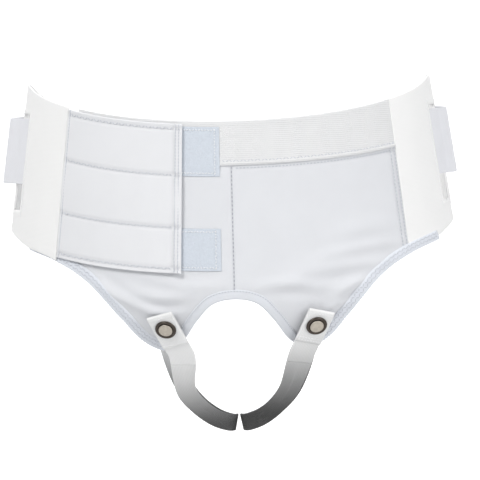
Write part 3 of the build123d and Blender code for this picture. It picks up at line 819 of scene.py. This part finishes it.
def binding(name, path, width, wall, material, replaces, scallop=0.0):
    """Tape folded over an edge: a U that wraps the panel, following the edge path."""
    total = path[-1, 2]
    steps = int(total / 1.2)
    s = np.linspace(0, total, steps)
    # Across the tape: outside face from its inner edge to the fold, round, then the inside face
    bend = np.linspace(0, np.pi, 9)
    outside = [(width, PANEL + 0.15), (width - 0.5, PANEL + wall),
               (width * 0.5, PANEL + wall + 0.12), (1.4, PANEL + wall)]
    half = (PANEL + 2 * wall) / 2
    fold = [(0.9 - 1.1 * math.sin(b), PANEL / 2 + half * math.cos(b)) for b in bend]
    inside = [(1.4, -wall), (width * 0.5, -wall), (width - 0.5, -wall), (width, -0.15)]
    section = np.array(outside + fold + inside)
    inset = np.repeat(section[None, :, 0], steps, 0)
    height = np.repeat(section[None, :, 1], steps, 0)
    if scallop:
        picot = scallop * np.abs(np.sin(np.pi * s / 2.6))[:, None]
        inset = inset - picot * np.clip(1 - inset / 2.5, 0, 1)
        height = height + 0.14 * np.sin(2 * np.pi * s / 2.6)[:, None] * (height > PANEL)
    phi, z = edge_point(np.repeat(s[:, None], len(section), 1), inset, path)
    phi_panel_relief = fold_relief(torso(phi, z)[..., 0], z) * np.clip(inset / 9.0, 0, 1)
    verts = torso(phi, z, height + phi_panel_relief)
    nu, nv = phi.shape
    faces = []
    for i in range(nu - 1):
        for j in range(nv):
            k = (j + 1) % nv
            faces.append((i * nv + j, i * nv + k, (i + 1) * nv + k, (i + 1) * nv + j))
    faces.append(tuple(range(nv))[::-1])
    faces.append(tuple((nu - 1) * nv + j for j in range(nv)))
    run = np.cumsum(np.linalg.norm(np.diff(section, axis=0, prepend=section[:1]), axis=1))
    uv = np.stack([np.repeat(run[None], nu, 0).ravel() * MM, np.repeat(s[:, None], nv, 1).ravel() * MM], 1)
    piece = make_mesh(name, verts.reshape(-1, 3), faces, uv)
    face_out(piece)
    return dress(piece, material, replaces=replaces)


def face_out(piece):
    clean(piece, lambda m: bmesh.ops.recalc_face_normals(m, faces=m.faces))


def binding_stitches(path, inset, t, pitch, zigzag=0.0):
    s = np.linspace(2, path[-1, 2] - 2, 200)
    phi, z = edge_point(s, np.full_like(s, inset), path)
    lift = fold_relief(torso(phi, z)[..., 0], z) * min(1.0, inset / 9.0)
    line = np.column_stack([torso(phi, z, t + lift), phi, z])
    path_even = evenly(line, pitch)
    facing = outward(path_even[:, 3], path_even[:, 4])
    along = unit(np.gradient(path_even[:, :3], axis=0))
    return path_even[:, :3], swung(along, facing, pitch, zigzag), facing


def make_bindings():
    binding("arch_binding_tape", ARCH_PATH, 7.0, 0.8, TAPE, ["arch_binding"])
    rows = [binding_stitches(ARCH_PATH, 5.9, PANEL + 0.95, 2.2)]
    for side, name in ((-1, "right"), (1, "left")):
        path = leg_path(side)
        binding(f"leg_edging_tape_{name}", path, 7.0, 0.8, EDGING,
                [f"leg_edging_{name}"], 0.7)
        zigzag = [binding_stitches(path, k, PANEL + 1.0, 2.4, 2.0) for k in (2.6, 5.2)]
        thread = sew(f"leg_edging_stitches_{name}", zigzag, PALE_THREAD, 2.8, 0.7)
        dress(thread, PALE_THREAD)
    dress(sew("arch_binding_stitches", rows, PALE_THREAD, 1.8, 0.7), PALE_THREAD)


def make_panel_seams():
    """Centre seam, and the double row at the pocket's side."""
    z0 = float(panel_bottom(np.array([0.0]))[0]) + 7.5
    rows = [stitch_row(along_angle(0.0, z0, float(hem(0.0)) - 1.5), PANEL + 0.02, 3.0)]
    dress(sew("centre_seam_stitches", rows, GREY_THREAD, 2.1, 0.7), GREY_THREAD)
    # partly painted shadow: this pale grey stitch row just under the hem also stands in for the shadow line
    # beneath the waistband's lower edge
    rows = [stitch_row(along_edge(1.5, SIDE_SEAM - 2.5, hem, -1.8), PANEL - 0.1, 2.6)]
    for phi in (SIDE_SEAM - row for row in SIDE_ROWS):
        low, high = float(bottom_edge(phi)) + 3, float(hem(phi)) + 2.5
        rows.append(stitch_row(along_angle(phi, low, high), PANEL + 0.35, 2.6))
    dress(sew("pocket_side_stitches", rows, PALE_THREAD, 2.0, 0.8), PALE_THREAD)


# ==== pockets and pads =============================================================================
def make_lining(side, name):
    phi0, phi1 = sorted((side * 1.0, side * 47.0))

    def bottom(phi):
        leg = np.interp(np.abs(phi), [30, 47], [-88.5, -66])
        return np.maximum(-88.5, leg)

    phi, z = cloth_grid(phi0, phi1, bottom, lambda p: hem(p) - 0.5, 2.2)
    width = np.minimum(np.abs(phi) - 1.0, 47.0 - np.abs(phi)) * MM_PER_DEGREE
    tall = z - bottom(phi)
    ease = np.minimum(1, np.minimum(width, tall) / 7.0)
    sink = -(POCKET_DEPTH + LINING / 2) * np.sin(ease * np.pi / 2) ** 1.2 - 0.7
    piece = cloth(f"pocket_lining_cloth_{name}", phi, z, -0.5, 0.2, sink, sink)
    return dress(piece, LINING_CLOTH, replaces=[f"pocket_lining_{name}"])


PAD_CENTRE = (23.0, -48.0)
PAD_SIZE = (66.0, 60.0)


def make_pad(side, name):
    """Foam pad with a cloth skin, swelled by simulation from a slightly thin blank."""
    centre_phi, centre_z = side * PAD_CENTRE[0], PAD_CENTRE[1]
    centre_x = float(torso(centre_phi, centre_z)[0])
    count = 44
    rings = np.linspace(0, 1, 16)[1:]
    angle = np.linspace(0, 2 * np.pi, count, endpoint=False)
    power = 4.0
    reach = (np.abs(np.cos(angle)) ** power + np.abs(np.sin(angle)) ** power) ** (-1 / power)
    middle = -POCKET_DEPTH / 2
    verts, faces = [], []
    for face_side in (1, -1):
        for r in rings:
            x = centre_x + r * reach * np.cos(angle) * (PAD_SIZE[0] / 2 - 1.2)
            z = centre_z + r * reach * np.sin(angle) * (PAD_SIZE[1] / 2 - 1.2)
            phi = np.degrees(np.arcsin(x / (half_width(z) + middle)))
            t = middle + face_side * 2.0 * (1 - r ** 6) ** 0.5
            verts.append(torso(phi, z, t))
    verts = np.concatenate(verts).tolist()
    per = len(rings) * count
    tops = []
    for k, face_side in enumerate((1, -1)):
        tops.append(len(verts))
        verts.append(torso(centre_phi, centre_z, middle + face_side * 2.0).tolist())
    ring_count = len(rings)
    for k in range(2):
        for r in range(ring_count - 1):
            for i in range(count):
                a, b = k * per + r * count + i, k * per + r * count + (i + 1) % count
                quad = (a, b, b + count, a + count)
                faces.append(quad if k == 0 else quad[::-1])
        for i in range(count):
            tri = (tops[k], k * per + i, k * per + (i + 1) % count)
            faces.append(tri[::-1] if k == 0 else tri)
    for i in range(count):
        a, b = (ring_count - 1) * count + i, (ring_count - 1) * count + (i + 1) % count
        faces.append((a, b, b + per, a + per))
    piece = make_mesh(f"pad_{name}", verts, faces)
    merge(piece, 0.0002)
    face_out(piece)
    swell(piece, 0.0016)
    dress(piece, PAD_FOAM, f"foam_pad_{name}", [f"foam_pad_{name}"])
    return piece


def merge(piece, distance):
    clean(piece, lambda m: bmesh.ops.remove_doubles(m, verts=m.verts, dist=distance))


def swell(piece, cap):
    """Blow a padded piece up a little with cloth pressure, no point moving past cap metres."""
    remesh = piece.modifiers.new("remesh", "REMESH")
    remesh.mode = "VOXEL"
    remesh.voxel_size = 0.0022
    apply_modifiers(piece)
    start = np.array([v.co[:] for v in piece.data.vertices])
    pressure = piece.modifiers.new("cloth", "CLOTH")
    pressure.settings.use_pressure = True
    pressure.settings.uniform_pressure_force = 3.0
    pressure.settings.effector_weights.gravity = 0.0
    pressure.settings.quality = 4
    pressure.point_cache.frame_end = 12
    scene = bpy.context.scene
    for number in range(1, 13):
        scene.frame_set(number)
    apply_modifiers(piece)
    scene.frame_set(1)
    moved = np.array([v.co[:] for v in piece.data.vertices]) - start
    far = np.linalg.norm(moved, axis=1, keepdims=True)
    moved *= np.minimum(1.0, cap / np.maximum(far, 1e-9))
    piece.data.vertices.foreach_set("co", (start + moved).ravel())
    piece.data.update()


def apply_modifiers(piece):
    graph = bpy.context.evaluated_depsgraph_get()
    mesh = bpy.data.meshes.new_from_object(piece.evaluated_get(graph))
    piece.modifiers.clear()
    old = piece.data
    piece.data = mesh
    bpy.data.meshes.remove(old)
    mesh.polygons.foreach_set("use_smooth", [True] * len(mesh.polygons))


# ==== closure ======================================================================================
def flap_low(phi):
    return sloped(phi, FLAP_BOTTOM, FLAP_LOWER_SLOPE)


def flap_high(phi):
    return sloped(phi, FLAP_TOP, FLAP_SLOPE)


def flap_row_upper(phi):
    return sloped(phi, FLAP_ROW_UPPER, FLAP_SLOPE)


def flap_row_lower(phi):
    return sloped(phi, FLAP_ROW_LOWER, FLAP_LOWER_SLOPE)


FLAP_LINES = (lambda p: flap_high(p) - 3.6, lambda p: flap_row_upper(p) + 0.8,
              lambda p: flap_row_lower(p) + 0.6, lambda p: flap_low(p) + 3.6)


def make_closure():
    body = "closure_flap"
    left = FLAP_SEAM - 0.1
    phi, z = cloth_grid(left, FLAP_EDGE, flap_low, flap_high, 1.3)
    rows = [line(phi) for line in FLAP_LINES]
    stitched = sum(-0.85 * bell(z - row, 1.5) for row in rows)
    puff = 0.35 * np.sin(np.pi * np.clip((z - rows[2]) / (rows[1] - rows[2]), 0, 1)) ** 2
    edge = np.interp(FLAP_EDGE - phi, [0, 1.8, 2.3], [0.9, 0.8, 0.0])
    columns = -0.3 * bell((FLAP_EDGE - phi - 2.4) * 2.0, 1.0)
    piece = cloth("closure_flap_cloth", phi, z, OUTER, OUTER + ELASTIC, stitched + puff + edge + columns, 0.0)
    nodes = ["closure_flap", "flap_edge_binding"]
    dress(piece, JERSEY, body, nodes)

    t = OUTER + ELASTIC - 0.05
    span = (FLAP_SEAM + 2.0, FLAP_EDGE - 3.0)
    stitches = [stitch_row(along_edge(*span, line), t, 2.6, 2.4) for line in FLAP_LINES]
    for phi_row, lift in ((FLAP_EDGE - 1.7, 0.85), (FLAP_EDGE - 0.8, 0.9)):
        low, high = float(flap_low(phi_row)) + 1.5, float(flap_high(phi_row)) - 1.5
        stitches.append(stitch_row(along_angle(phi_row, low, high), t + lift, 2.4))
    seam = along_angle(FLAP_SEAM + 1.0, float(flap_low(FLAP_SEAM)) + 1.5, float(flap_high(FLAP_SEAM)) - 1.5)
    stitches.append(stitch_row(seam, t + 0.1, 2.4))
    dress(sew("closure_flap_stitches", stitches, PALE_THREAD, 2.7, 0.7), PALE_THREAD, body)

    for name, low, high in (("upper", flap_row_upper, flap_high), ("lower", flap_low, flap_row_lower)):
        lift = 2.0 if name == "lower" else 0.0

        def tape_low(p, low=low, lift=lift):
            return low(p) + lift

        def tape_high(p, high=high, name=name):
            return high(p) - (2.0 if name == "upper" else 0.0)

        phi, z = cloth_grid(*HOOK_SPAN, tape_low, tape_high, 2.5)
        hook = cloth(f"hook_tape_{name}", phi, z, OUTER - 0.45, OUTER, 0.0, 0.0)
        dress(hook, HOOK, body, [f"hook_strip_{name}"])
        bristles = hook_field(f"hooks_{name}", *HOOK_SPAN, tape_low, tape_high, OUTER - 0.45)
        dress(bristles, HOOK, body)
        loop_phi, loop_z = cloth_grid(*LOOP_SPAN, tape_low, tape_high, 1.6)
        border = np.minimum(np.minimum(loop_z - tape_low(loop_phi), tape_high(loop_phi) - loop_z),
                            (LOOP_SPAN[1] - loop_phi) * 1.9)
        pile = -0.3 * bell(border - 2.6, 0.9) - 0.1 * (border < 2.2)
        loop = cloth(f"loop_tape_{name}", loop_phi, loop_z, PANEL, PANEL + LOOP_TAPE, pile, 0.0)
        dress(loop, LOOP, "root", [f"loop_pad_{name}"])
        right = LOOP_SPAN[1] - 1.3
        t_loop = PANEL + LOOP_TAPE + 0.1
        end = along_angle(right, float(tape_low(right)) + 2, float(tape_high(right)) - 2)
        borders = [along_edge(LOOP_SPAN[0] + 1, right, tape_low, 2.4),
                   along_edge(LOOP_SPAN[0] + 1, right, tape_high, -2.4), end]
        rows = [stitch_row(border, t_loop, 2.2, 1.5) for border in borders]
        dress(sew(f"loop_tape_stitches_{name}", rows, THREAD, 2.1, 0.65), THREAD)


def hook_field(name, phi0, phi1, low, high, t, pitch=1.5):
    """Rows of short bristles that point at the body."""
    width = np.ptp(np.interp([phi0, phi1], _ARC_PHI, _ARC_LEN))
    rows = []
    for phi in np.linspace(phi0 + 0.8, phi1 - 0.8, int(width / pitch)):
        z = np.arange(float(low(phi)) + 1.5, float(high(phi)) - 1.5, pitch)
        points = torso(np.full_like(z, phi), z, t - 0.17)
        facing = outward(np.full_like(z, phi), z)
        rows.append((points, -facing, np.tile([0.0, 0.0, 1.0], (len(z), 1))))
    return sew(name, rows, HOOK, 0.36, 0.35)


# ==== side straps ====================================================================================
BULGE = {-1: 14.0, 1: 9.5}
SIDE_STRAP_Z = (-16.0, 33.0)


def side_strap_path(side):
    base = ELASTIC if side > 0 else RIGHT_BASE + ELASTIC
    bulge = BULGE[side]
    first, last = SLIT
    half = ELASTIC / 2
    inner = base - 2 * ELASTIC - 1.0
    path = [(first - 14, inner), (first - 8, inner), (first - 2, inner),
            (first + 2.6, base - 2 * ELASTIC + 0.9), (last - 1.2, base + half),
            (last + 1.2, base + 3.4), (last + 5.5, bulge - 1), (last + 12, bulge),
            (BACK_SEAM - 10, TAB_INSIDE + 0.6 * (bulge - TAB_INSIDE)), (BACK_SEAM - 3, TAB_INSIDE + 0.8),
            (TAB_ANGLES[0], TAB_INSIDE), (TAB_ANGLES[0] + 8, TAB_INSIDE), (TAB_ANGLES[1], TAB_INSIDE)]
    return [(phi * 2.0, t + half) for phi, t in path]


def make_side_strap(side, name):
    """Side strap and its fastening end in one length."""
    path = smooth_path(side_strap_path(side), 10)
    path = evenly(np.column_stack([path, np.zeros(len(path))])[:, [0, 1, 2]], 1.6)
    phi, t = side * path[:, 0] / 2.0, path[:, 1]
    low, high = SIDE_STRAP_Z
    rows = graded(26, high - low)
    z = low + (high - low) * rows
    grid_phi = np.repeat(phi[:, None], len(z), 1)
    grid_z = np.repeat(z[None, :], len(phi), 0)
    middle = torso(grid_phi, grid_z, t[:, None])
    ahead = unit(np.gradient(middle, axis=0))
    up = unit(np.gradient(middle, axis=1))
    out = unit(np.cross(ahead, up)) * side
    drop, su, sv = edge_drop(middle, ELASTIC / 2 * 0.96)
    cords = 0.07 * np.sin(2 * np.pi * sv / 2.2)
    half = ELASTIC / 2
    verts = np.concatenate([(middle + out * (half - drop + cords)[..., None]).reshape(-1, 3),
                            (middle - out * (half - drop)[..., None]).reshape(-1, 3)])
    uv = np.stack([(sv * MM).ravel(), (su * MM).ravel()], 1)
    faces = shell_faces(*grid_phi.shape)
    if side < 0:
        faces = [f[::-1] for f in faces]
    piece = make_mesh(f"side_strap_cloth_{name}", verts, faces, np.concatenate([uv, uv]))
    piece.data.materials.append(SIDE_STRAP)
    hinge, spread = TAB_ANGLES[0], 1.2
    middle_z = (low + high) / 2
    start, end = (torso(side * (hinge + k), middle_z, TAB_INSIDE + ELASTIC) * MM for k in (-spread, spread))
    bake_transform(piece)
    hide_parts(f"side_strap_{name}", f"side_tab_{name}")

    inset = 2.0
    lo, hi = TAB_ANGLES[0] + inset, TAB_ANGLES[1] - inset
    span = sorted((side * lo, side * hi))

    tab_low, tab_high = level(low + inset), level(high - inset)
    grid = cloth_grid(*span, tab_low, tab_high, 2.5)
    hook = cloth(f"side_hook_tape_{name}", *grid, TAB_INSIDE - 0.45, TAB_INSIDE, 0.0, 0.0)
    dress(hook, HOOK, f"side_tab_{name}", [f"side_hook_{name}"])
    field = hook_field(f"side_hooks_{name}", *span, tab_low, tab_high, TAB_INSIDE - 0.45)
    dress(field, HOOK, f"side_tab_{name}")
    t_out = TAB_INSIDE + ELASTIC + 0.05
    rows = stitch_box(side * lo, side * hi, low + inset, high - inset, t_out)
    thread = sew(f"side_tab_stitches_{name}", rows, THREAD, 1.8, 0.45)
    dress(thread, THREAD, f"side_tab_{name}")

    patch_span = sorted(side * p for p in TAB_ANGLES)

    def patch_high(p):
        return np.minimum(high, top_edge(p) - 0.3)

    grid = cloth_grid(*patch_span, level(low), patch_high, 2.0)
    patch = cloth(f"side_loop_patch_{name}", *grid, 2 * ELASTIC, 2 * ELASTIC + LOOP_TAPE, 0.0, 0.0)
    dress(patch, LOOP, "root", [f"side_loop_{name}"])


# ==== snaps and leg straps ==============================================================================
SNAP_X, SNAP_Z = {-1: 49.5, 1: 57.5}, -117.0
STRAP_WIDTH, STRAP_LEAN = 20.0, 25.0
STRAP_JOIN = 6            # rows of the strap between its peel line and where its rear length begins
TAB_ABOVE, TAB_BELOW, TAB_FOLD = 12.5, 27.0, 17.0
STUD_FLANGE, SOCKET_LIFT, SOCKET_HEIGHT = 0.8, 0.3, 2.4
WEB_BASE = STUD_FLANGE + SOCKET_LIFT + SOCKET_HEIGHT
WEB_TOP = WEB_BASE + ELASTIC
CAP_BASE = WEB_TOP + ELASTIC
CAP_RADIUS = 7.8
LEG_CENTRE = (77.0, 0.0)
# x, y, z, how far the face tips down, width of the stretched elastic
STRAP_ROUTE = [(37.5, -65, -172, 1.0, 14.5), (28, -57, -184.5, 0.9, 13.5), (17, -45.5, -194, 0.6, 13),
               (7, -27, -199.8, 0.35, 13), (2.4, 0, -203, 0.2, 13), (7.2, 27, -206, 0.2, 13),
               (18, 46, -204, 0.3, 13), (30, 58, -197, 0.4, 13.5), (40, 67, -187, 0.4, 14.5),
               (46.5, 74, -175, 0.35, 15.5), (53, 84, -154, 0.3, 17.5), (58, 98, -121, 0.15, 20)]
ANCHOR_TOP, MEETS_BACK = -36.0, (-93.0, -66.0)


class SnapPlace:
    """Where one snap sits: along the strap, off the panel, across the strap."""

    def __init__(self, side):
        phi = side * math.degrees(math.asin(SNAP_X[side] / half_width(SNAP_Z)))
        self.normal = outward(phi, SNAP_Z)
        down = unit(torso(phi, SNAP_Z - 0.01) - torso(phi, SNAP_Z + 0.01))
        lean = Matrix.Rotation(math.radians(side * -STRAP_LEAN), 3, Vector(self.normal))
        self.down = np.array(lean @ Vector(down))
        self.across = np.cross(self.normal, self.down)
        self.origin = torso(phi, SNAP_Z, PANEL)

    def at(self, along, height, across=0.0):
        return self.origin + self.down * along + self.normal * height + self.across * across


def strap_route(side, place):
    """Middle line, facing and width of a leg strap, from its sewn end to the fold at the snap."""
    web = (WEB_BASE + WEB_TOP) / 2
    phi = side * ANCHOR_ANGLE
    rows = [(torso(phi, z, 2.5 * ELASTIC + 0.1), outward(phi, z), [STRAP_WIDTH])
            for z in (ANCHOR_TOP, *MEETS_BACK)]
    for x, y, z, tip, width in reversed(STRAP_ROUTE):
        away = unit(np.array([x - LEG_CENTRE[0], y - LEG_CENTRE[1]]))
        rows.append((np.array([side * x, y, z]), unit(np.array([side * away[0], away[1], -tip])), [width]))
    for along in (TAB_BELOW, TAB_BELOW - 10, 0.0, -TAB_ABOVE + 1.2):
        rows.append((place.at(along, web), place.normal, [STRAP_WIDTH]))
    path = smooth_path([np.concatenate(r) for r in rows], 12)
    bend = []
    radius = (CAP_BASE - WEB_BASE) / 4
    for b in np.linspace(0, math.pi, 9)[1:]:
        centre = place.at(-TAB_ABOVE + 1.2 - radius * math.sin(b), WEB_TOP - radius * math.cos(b))
        out = place.normal * math.cos(b) + place.down * math.sin(b)
        bend.append(np.concatenate([centre, out, [STRAP_WIDTH]]))
    for along in np.linspace(-TAB_ABOVE + 3, TAB_FOLD, 14):
        bend.append(np.concatenate([place.at(along, WEB_TOP + ELASTIC / 2), -place.normal, [STRAP_WIDTH]]))
    return path, np.array(bend)


def make_leg_strap(side, name):
    place = SnapPlace(side)
    path, bend = strap_route(side, place)
    path = np.vstack([evenly(path, 1.8), bend])
    peel = place.at(TAB_BELOW, WEB_TOP)
    cut = len(path) - int(np.argmin(np.linalg.norm(path[::-1, :3] - peel, axis=1))) - 1 - STRAP_JOIN

    def cords(su, sv):
        return 0.05 * np.sin(2 * np.pi * sv / 2.2)

    def length(piece_name, part, square):
        piece = ribbon(piece_name, part[:, :3], part[:, 3:6], part[:, 6], ELASTIC, cords, square=square)
        piece.data.materials.append(SHADE_PAINTED_STRAPS[side])
        return piece

    # The rear length stays with the belt; the front length is a piece of its own from near the peel line
    rear = length(f"leg_strap_rear_{name}", path[:cut + 1], "last")
    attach(rear, "root")
    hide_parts(f"leg_strap_{name}")
    piece = length(f"leg_strap_front_{name}", path[cut:], "first")
    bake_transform(piece)
    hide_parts(f"strap_tab_{name}")
    body = f"strap_end_{name}"

    rows = []
    top = CAP_BASE + 0.1
    for a, b in (((-10.0, -8.2), (-10.0, 8.2)), ((14.5, -8.2), (14.5, 8.2)), ((12.2, -8.2), (12.2, 8.2))):
        line = np.array([place.at(along, top, across) for along, across in (a, b)])
        points = evenly(line, 2.2)
        along, facing = (np.tile(way, (len(points), 1)) for way in (line[1] - line[0], place.normal))
        rows.append((points, along, facing))
    dress(sew(f"strap_end_stitches_{name}", rows, THREAD, 1.8, 0.5), THREAD, body)

    r, h = CAP_RADIUS, CAP_BASE
    face = [(0, h + 0.9), (r * 0.3, h + 0.9), (r * 0.62, h + 1.0), (r * 0.66, h + 1.75), (r * 0.60, h + 1.95),
            (r * 0.4, h + 2.1), (r * 0.2, h + 2.16), (0, h + 2.18)]
    dress(lathe(f"snap_cap_face_{name}", place, face), CAP_FACE, body)
    # the rolled rim takes the painted dark reflection colour
    ring = [(0, h), (r * 0.93, h), (r * 0.99, h + 0.3), (r, h + 0.7), (r * 0.985, h + 1.1),
            (r * 0.95, h + 1.45), (r * 0.88, h + 1.65), (r * 0.79, h + 1.6), (r * 0.72, h + 1.35),
            (r * 0.68, h + 1.0), (r * 0.4, h + 0.95), (0, h + 0.95)]
    dress(lathe(f"snap_cap_ring_{name}", place, ring), CAP_RIM_PAINTED_REFLECTION, body, [f"snap_cap_{name}"])


def make_anchor(side, name):
    """Patch sewn over the end of a leg strap."""
    z0, z1 = ANCHOR_TOP - 14.0, ANCHOR_TOP + 3.0
    reach = math.degrees(STRAP_WIDTH / 2 / half_depth(z0)) + 1.0
    span = sorted((side * (ANCHOR_ANGLE - reach), side * (ANCHOR_ANGLE + reach)))

    t0 = 3 * ELASTIC + 0.35
    phi, z = cloth_grid(*span, level(z0), level(z1), 1.5)
    over = np.abs(phi - side * ANCHOR_ANGLE) / reach
    sag = -(t0 - 2 * ELASTIC) * np.clip((over - 0.86) / 0.14, 0, 1) ** 2
    piece = cloth(f"strap_anchor_patch_{name}", phi, z, t0, t0 + 0.8, sag * 0.6, sag * 0.6)
    dress(piece, PLAIN, replaces=[f"strap_anchor_{name}"])
    t = t0 + 0.85
    a, b, low, high = span[0] + 1.6, span[1] - 1.6, z0 + 2, z1 - 2
    rows = stitch_box(a, b, low, high, t)
    rows += [stitch_row([(a, low), (b, high)], t, 2.4), stitch_row([(b, low), (a, high)], t, 2.4)]
    dress(sew(f"strap_anchor_stitches_{name}", rows, THREAD, 1.9, 0.45), THREAD)


def paint_cad_metal():
    for name in ("right", "left"):
        for node in ("snap_stud", "snap_back", "snap_socket"):
            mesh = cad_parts[f"{node}_{name}"].data
            mesh.materials.clear()
            mesh.materials.append(CAP_FACE)


# ==== stage ==============================================================================================
def make_stage():
    """Pale floor that rises into a bright backdrop, clear from behind, soft lamps above and in front."""
    floor_z, size, start, rise = -0.75, 6.0, 1.6, 1.0
    angles = np.linspace(0.1, math.pi / 2, 12)
    profile = [(-size, floor_z), (start, floor_z)]
    profile += [(start + rise * math.sin(a), floor_z + rise * (1 - math.cos(a))) for a in angles]
    profile.append((start + rise, 5.0))
    verts = [(x * 1000, y * 1000, z * 1000) for y, z in profile for x in (-size, size)]
    faces = [(2 * i, 2 * i + 1, 2 * i + 3, 2 * i + 2) for i in range(len(profile) - 1)]
    floor = make_mesh("studio_floor", verts, faces)
    for name, low, high, glow in (("studio_floor_paper", 0.70, 0.72, 0.0),
                                  ("studio_backdrop", 0.94, 0.96, 0.35)):
        n = Nodes(name)
        n.shader.inputs["Emission Color"].default_value = (1.0, 1.0, 1.0, 1.0)
        n.shader.inputs["Emission Strength"].default_value = glow
        if glow:
            behind = n.add("ShaderNodeNewGeometry").outputs["Backfacing"]
            n.link(n.math("SUBTRACT", 1.0, behind), n.shader.inputs["Alpha"])
        n.finish(n.ramp(n.noise(0.5), [(0.0, (low,) * 3), (1.0, (high,) * 3)]), 0.9, 0.0)
        floor.data.materials.append(n.material)
    floor.data.polygons.foreach_set("material_index", [0] + [1] * (len(faces) - 1))
    world = bpy.data.worlds.new("studio")
    bpy.context.scene.world = world
    world.use_nodes = True
    background = world.node_tree.nodes["Background"]
    background.inputs[0].default_value = (0.96, 0.98, 1.0, 1.0)
    background.inputs[1].default_value = 0.55
    for name, place, size, power, colour in (("key", (-1.3, -1.9, 2.0), 0.9, 48.0, (1.0, 0.99, 0.97)),
                                             ("fill", (1.9, -1.8, 0.5), 1.4, 25.0, (1.0, 0.99, 0.98)),
                                             ("top", (0.2, 0.5, 2.4), 1.2, 20.0, (1.0, 1.0, 1.0))):
        light = bpy.data.lights.new(name, "AREA")
        light.energy, light.size, light.color = power, size, colour
        lamp = bpy.data.objects.new(name, light)
        lamp.location = place
        lamp.rotation_euler = (Vector((0, 0, -0.06)) - Vector(place)).to_track_quat("-Z", "Y").to_euler()
        bpy.context.scene.collection.objects.link(lamp)


YAW, ELEVATION, ROLL = 0.5, 4.0, 1.5
CAMERA_DISTANCE, FRAME_WIDTH = 2500.0, 480 * 0.76
TARGET = (4.0, 0.0, -64.0)


def make_camera():
    yaw, elevation, roll = (math.radians(a) for a in (YAW, ELEVATION, ROLL))
    level_reach = math.cos(elevation)
    back = Vector((math.sin(yaw) * level_reach, -math.cos(yaw) * level_reach, math.sin(elevation)))
    camera = bpy.data.cameras.new("camera")
    camera.sensor_width = 36.0
    camera.lens = camera.sensor_width * CAMERA_DISTANCE / FRAME_WIDTH
    camera.clip_end = 50.0
    view = bpy.data.objects.new("camera", camera)
    right = (-back).cross(Vector((0, 0, 1))).normalized()
    up = right.cross(-back)
    turned = Matrix((right * math.cos(roll) - up * math.sin(roll),
                     right * math.sin(roll) + up * math.cos(roll), back))
    turned.transpose()
    view.matrix_world = Matrix.Translation((Vector(TARGET) + back * CAMERA_DISTANCE) * MM) @ turned.to_4x4()
    bpy.context.scene.collection.objects.link(view)
    bpy.context.scene.camera = view


# ==== build ================================================================================================
make_camera()
make_stage()
make_waistband()
make_back()
make_bindings()
make_panel_seams()
make_closure()
paint_cad_metal()
for side, name in ((-1, "right"), (1, "left")):
    make_front_panel(side, name)
    make_side_elastic(side, name)
    make_lining(side, name)
    make_pad(side, name)
    make_side_strap(side, name)
    make_leg_strap(side, name)
    make_anchor(side, name)

scene = bpy.context.scene
scene.view_settings.view_transform = "Standard"
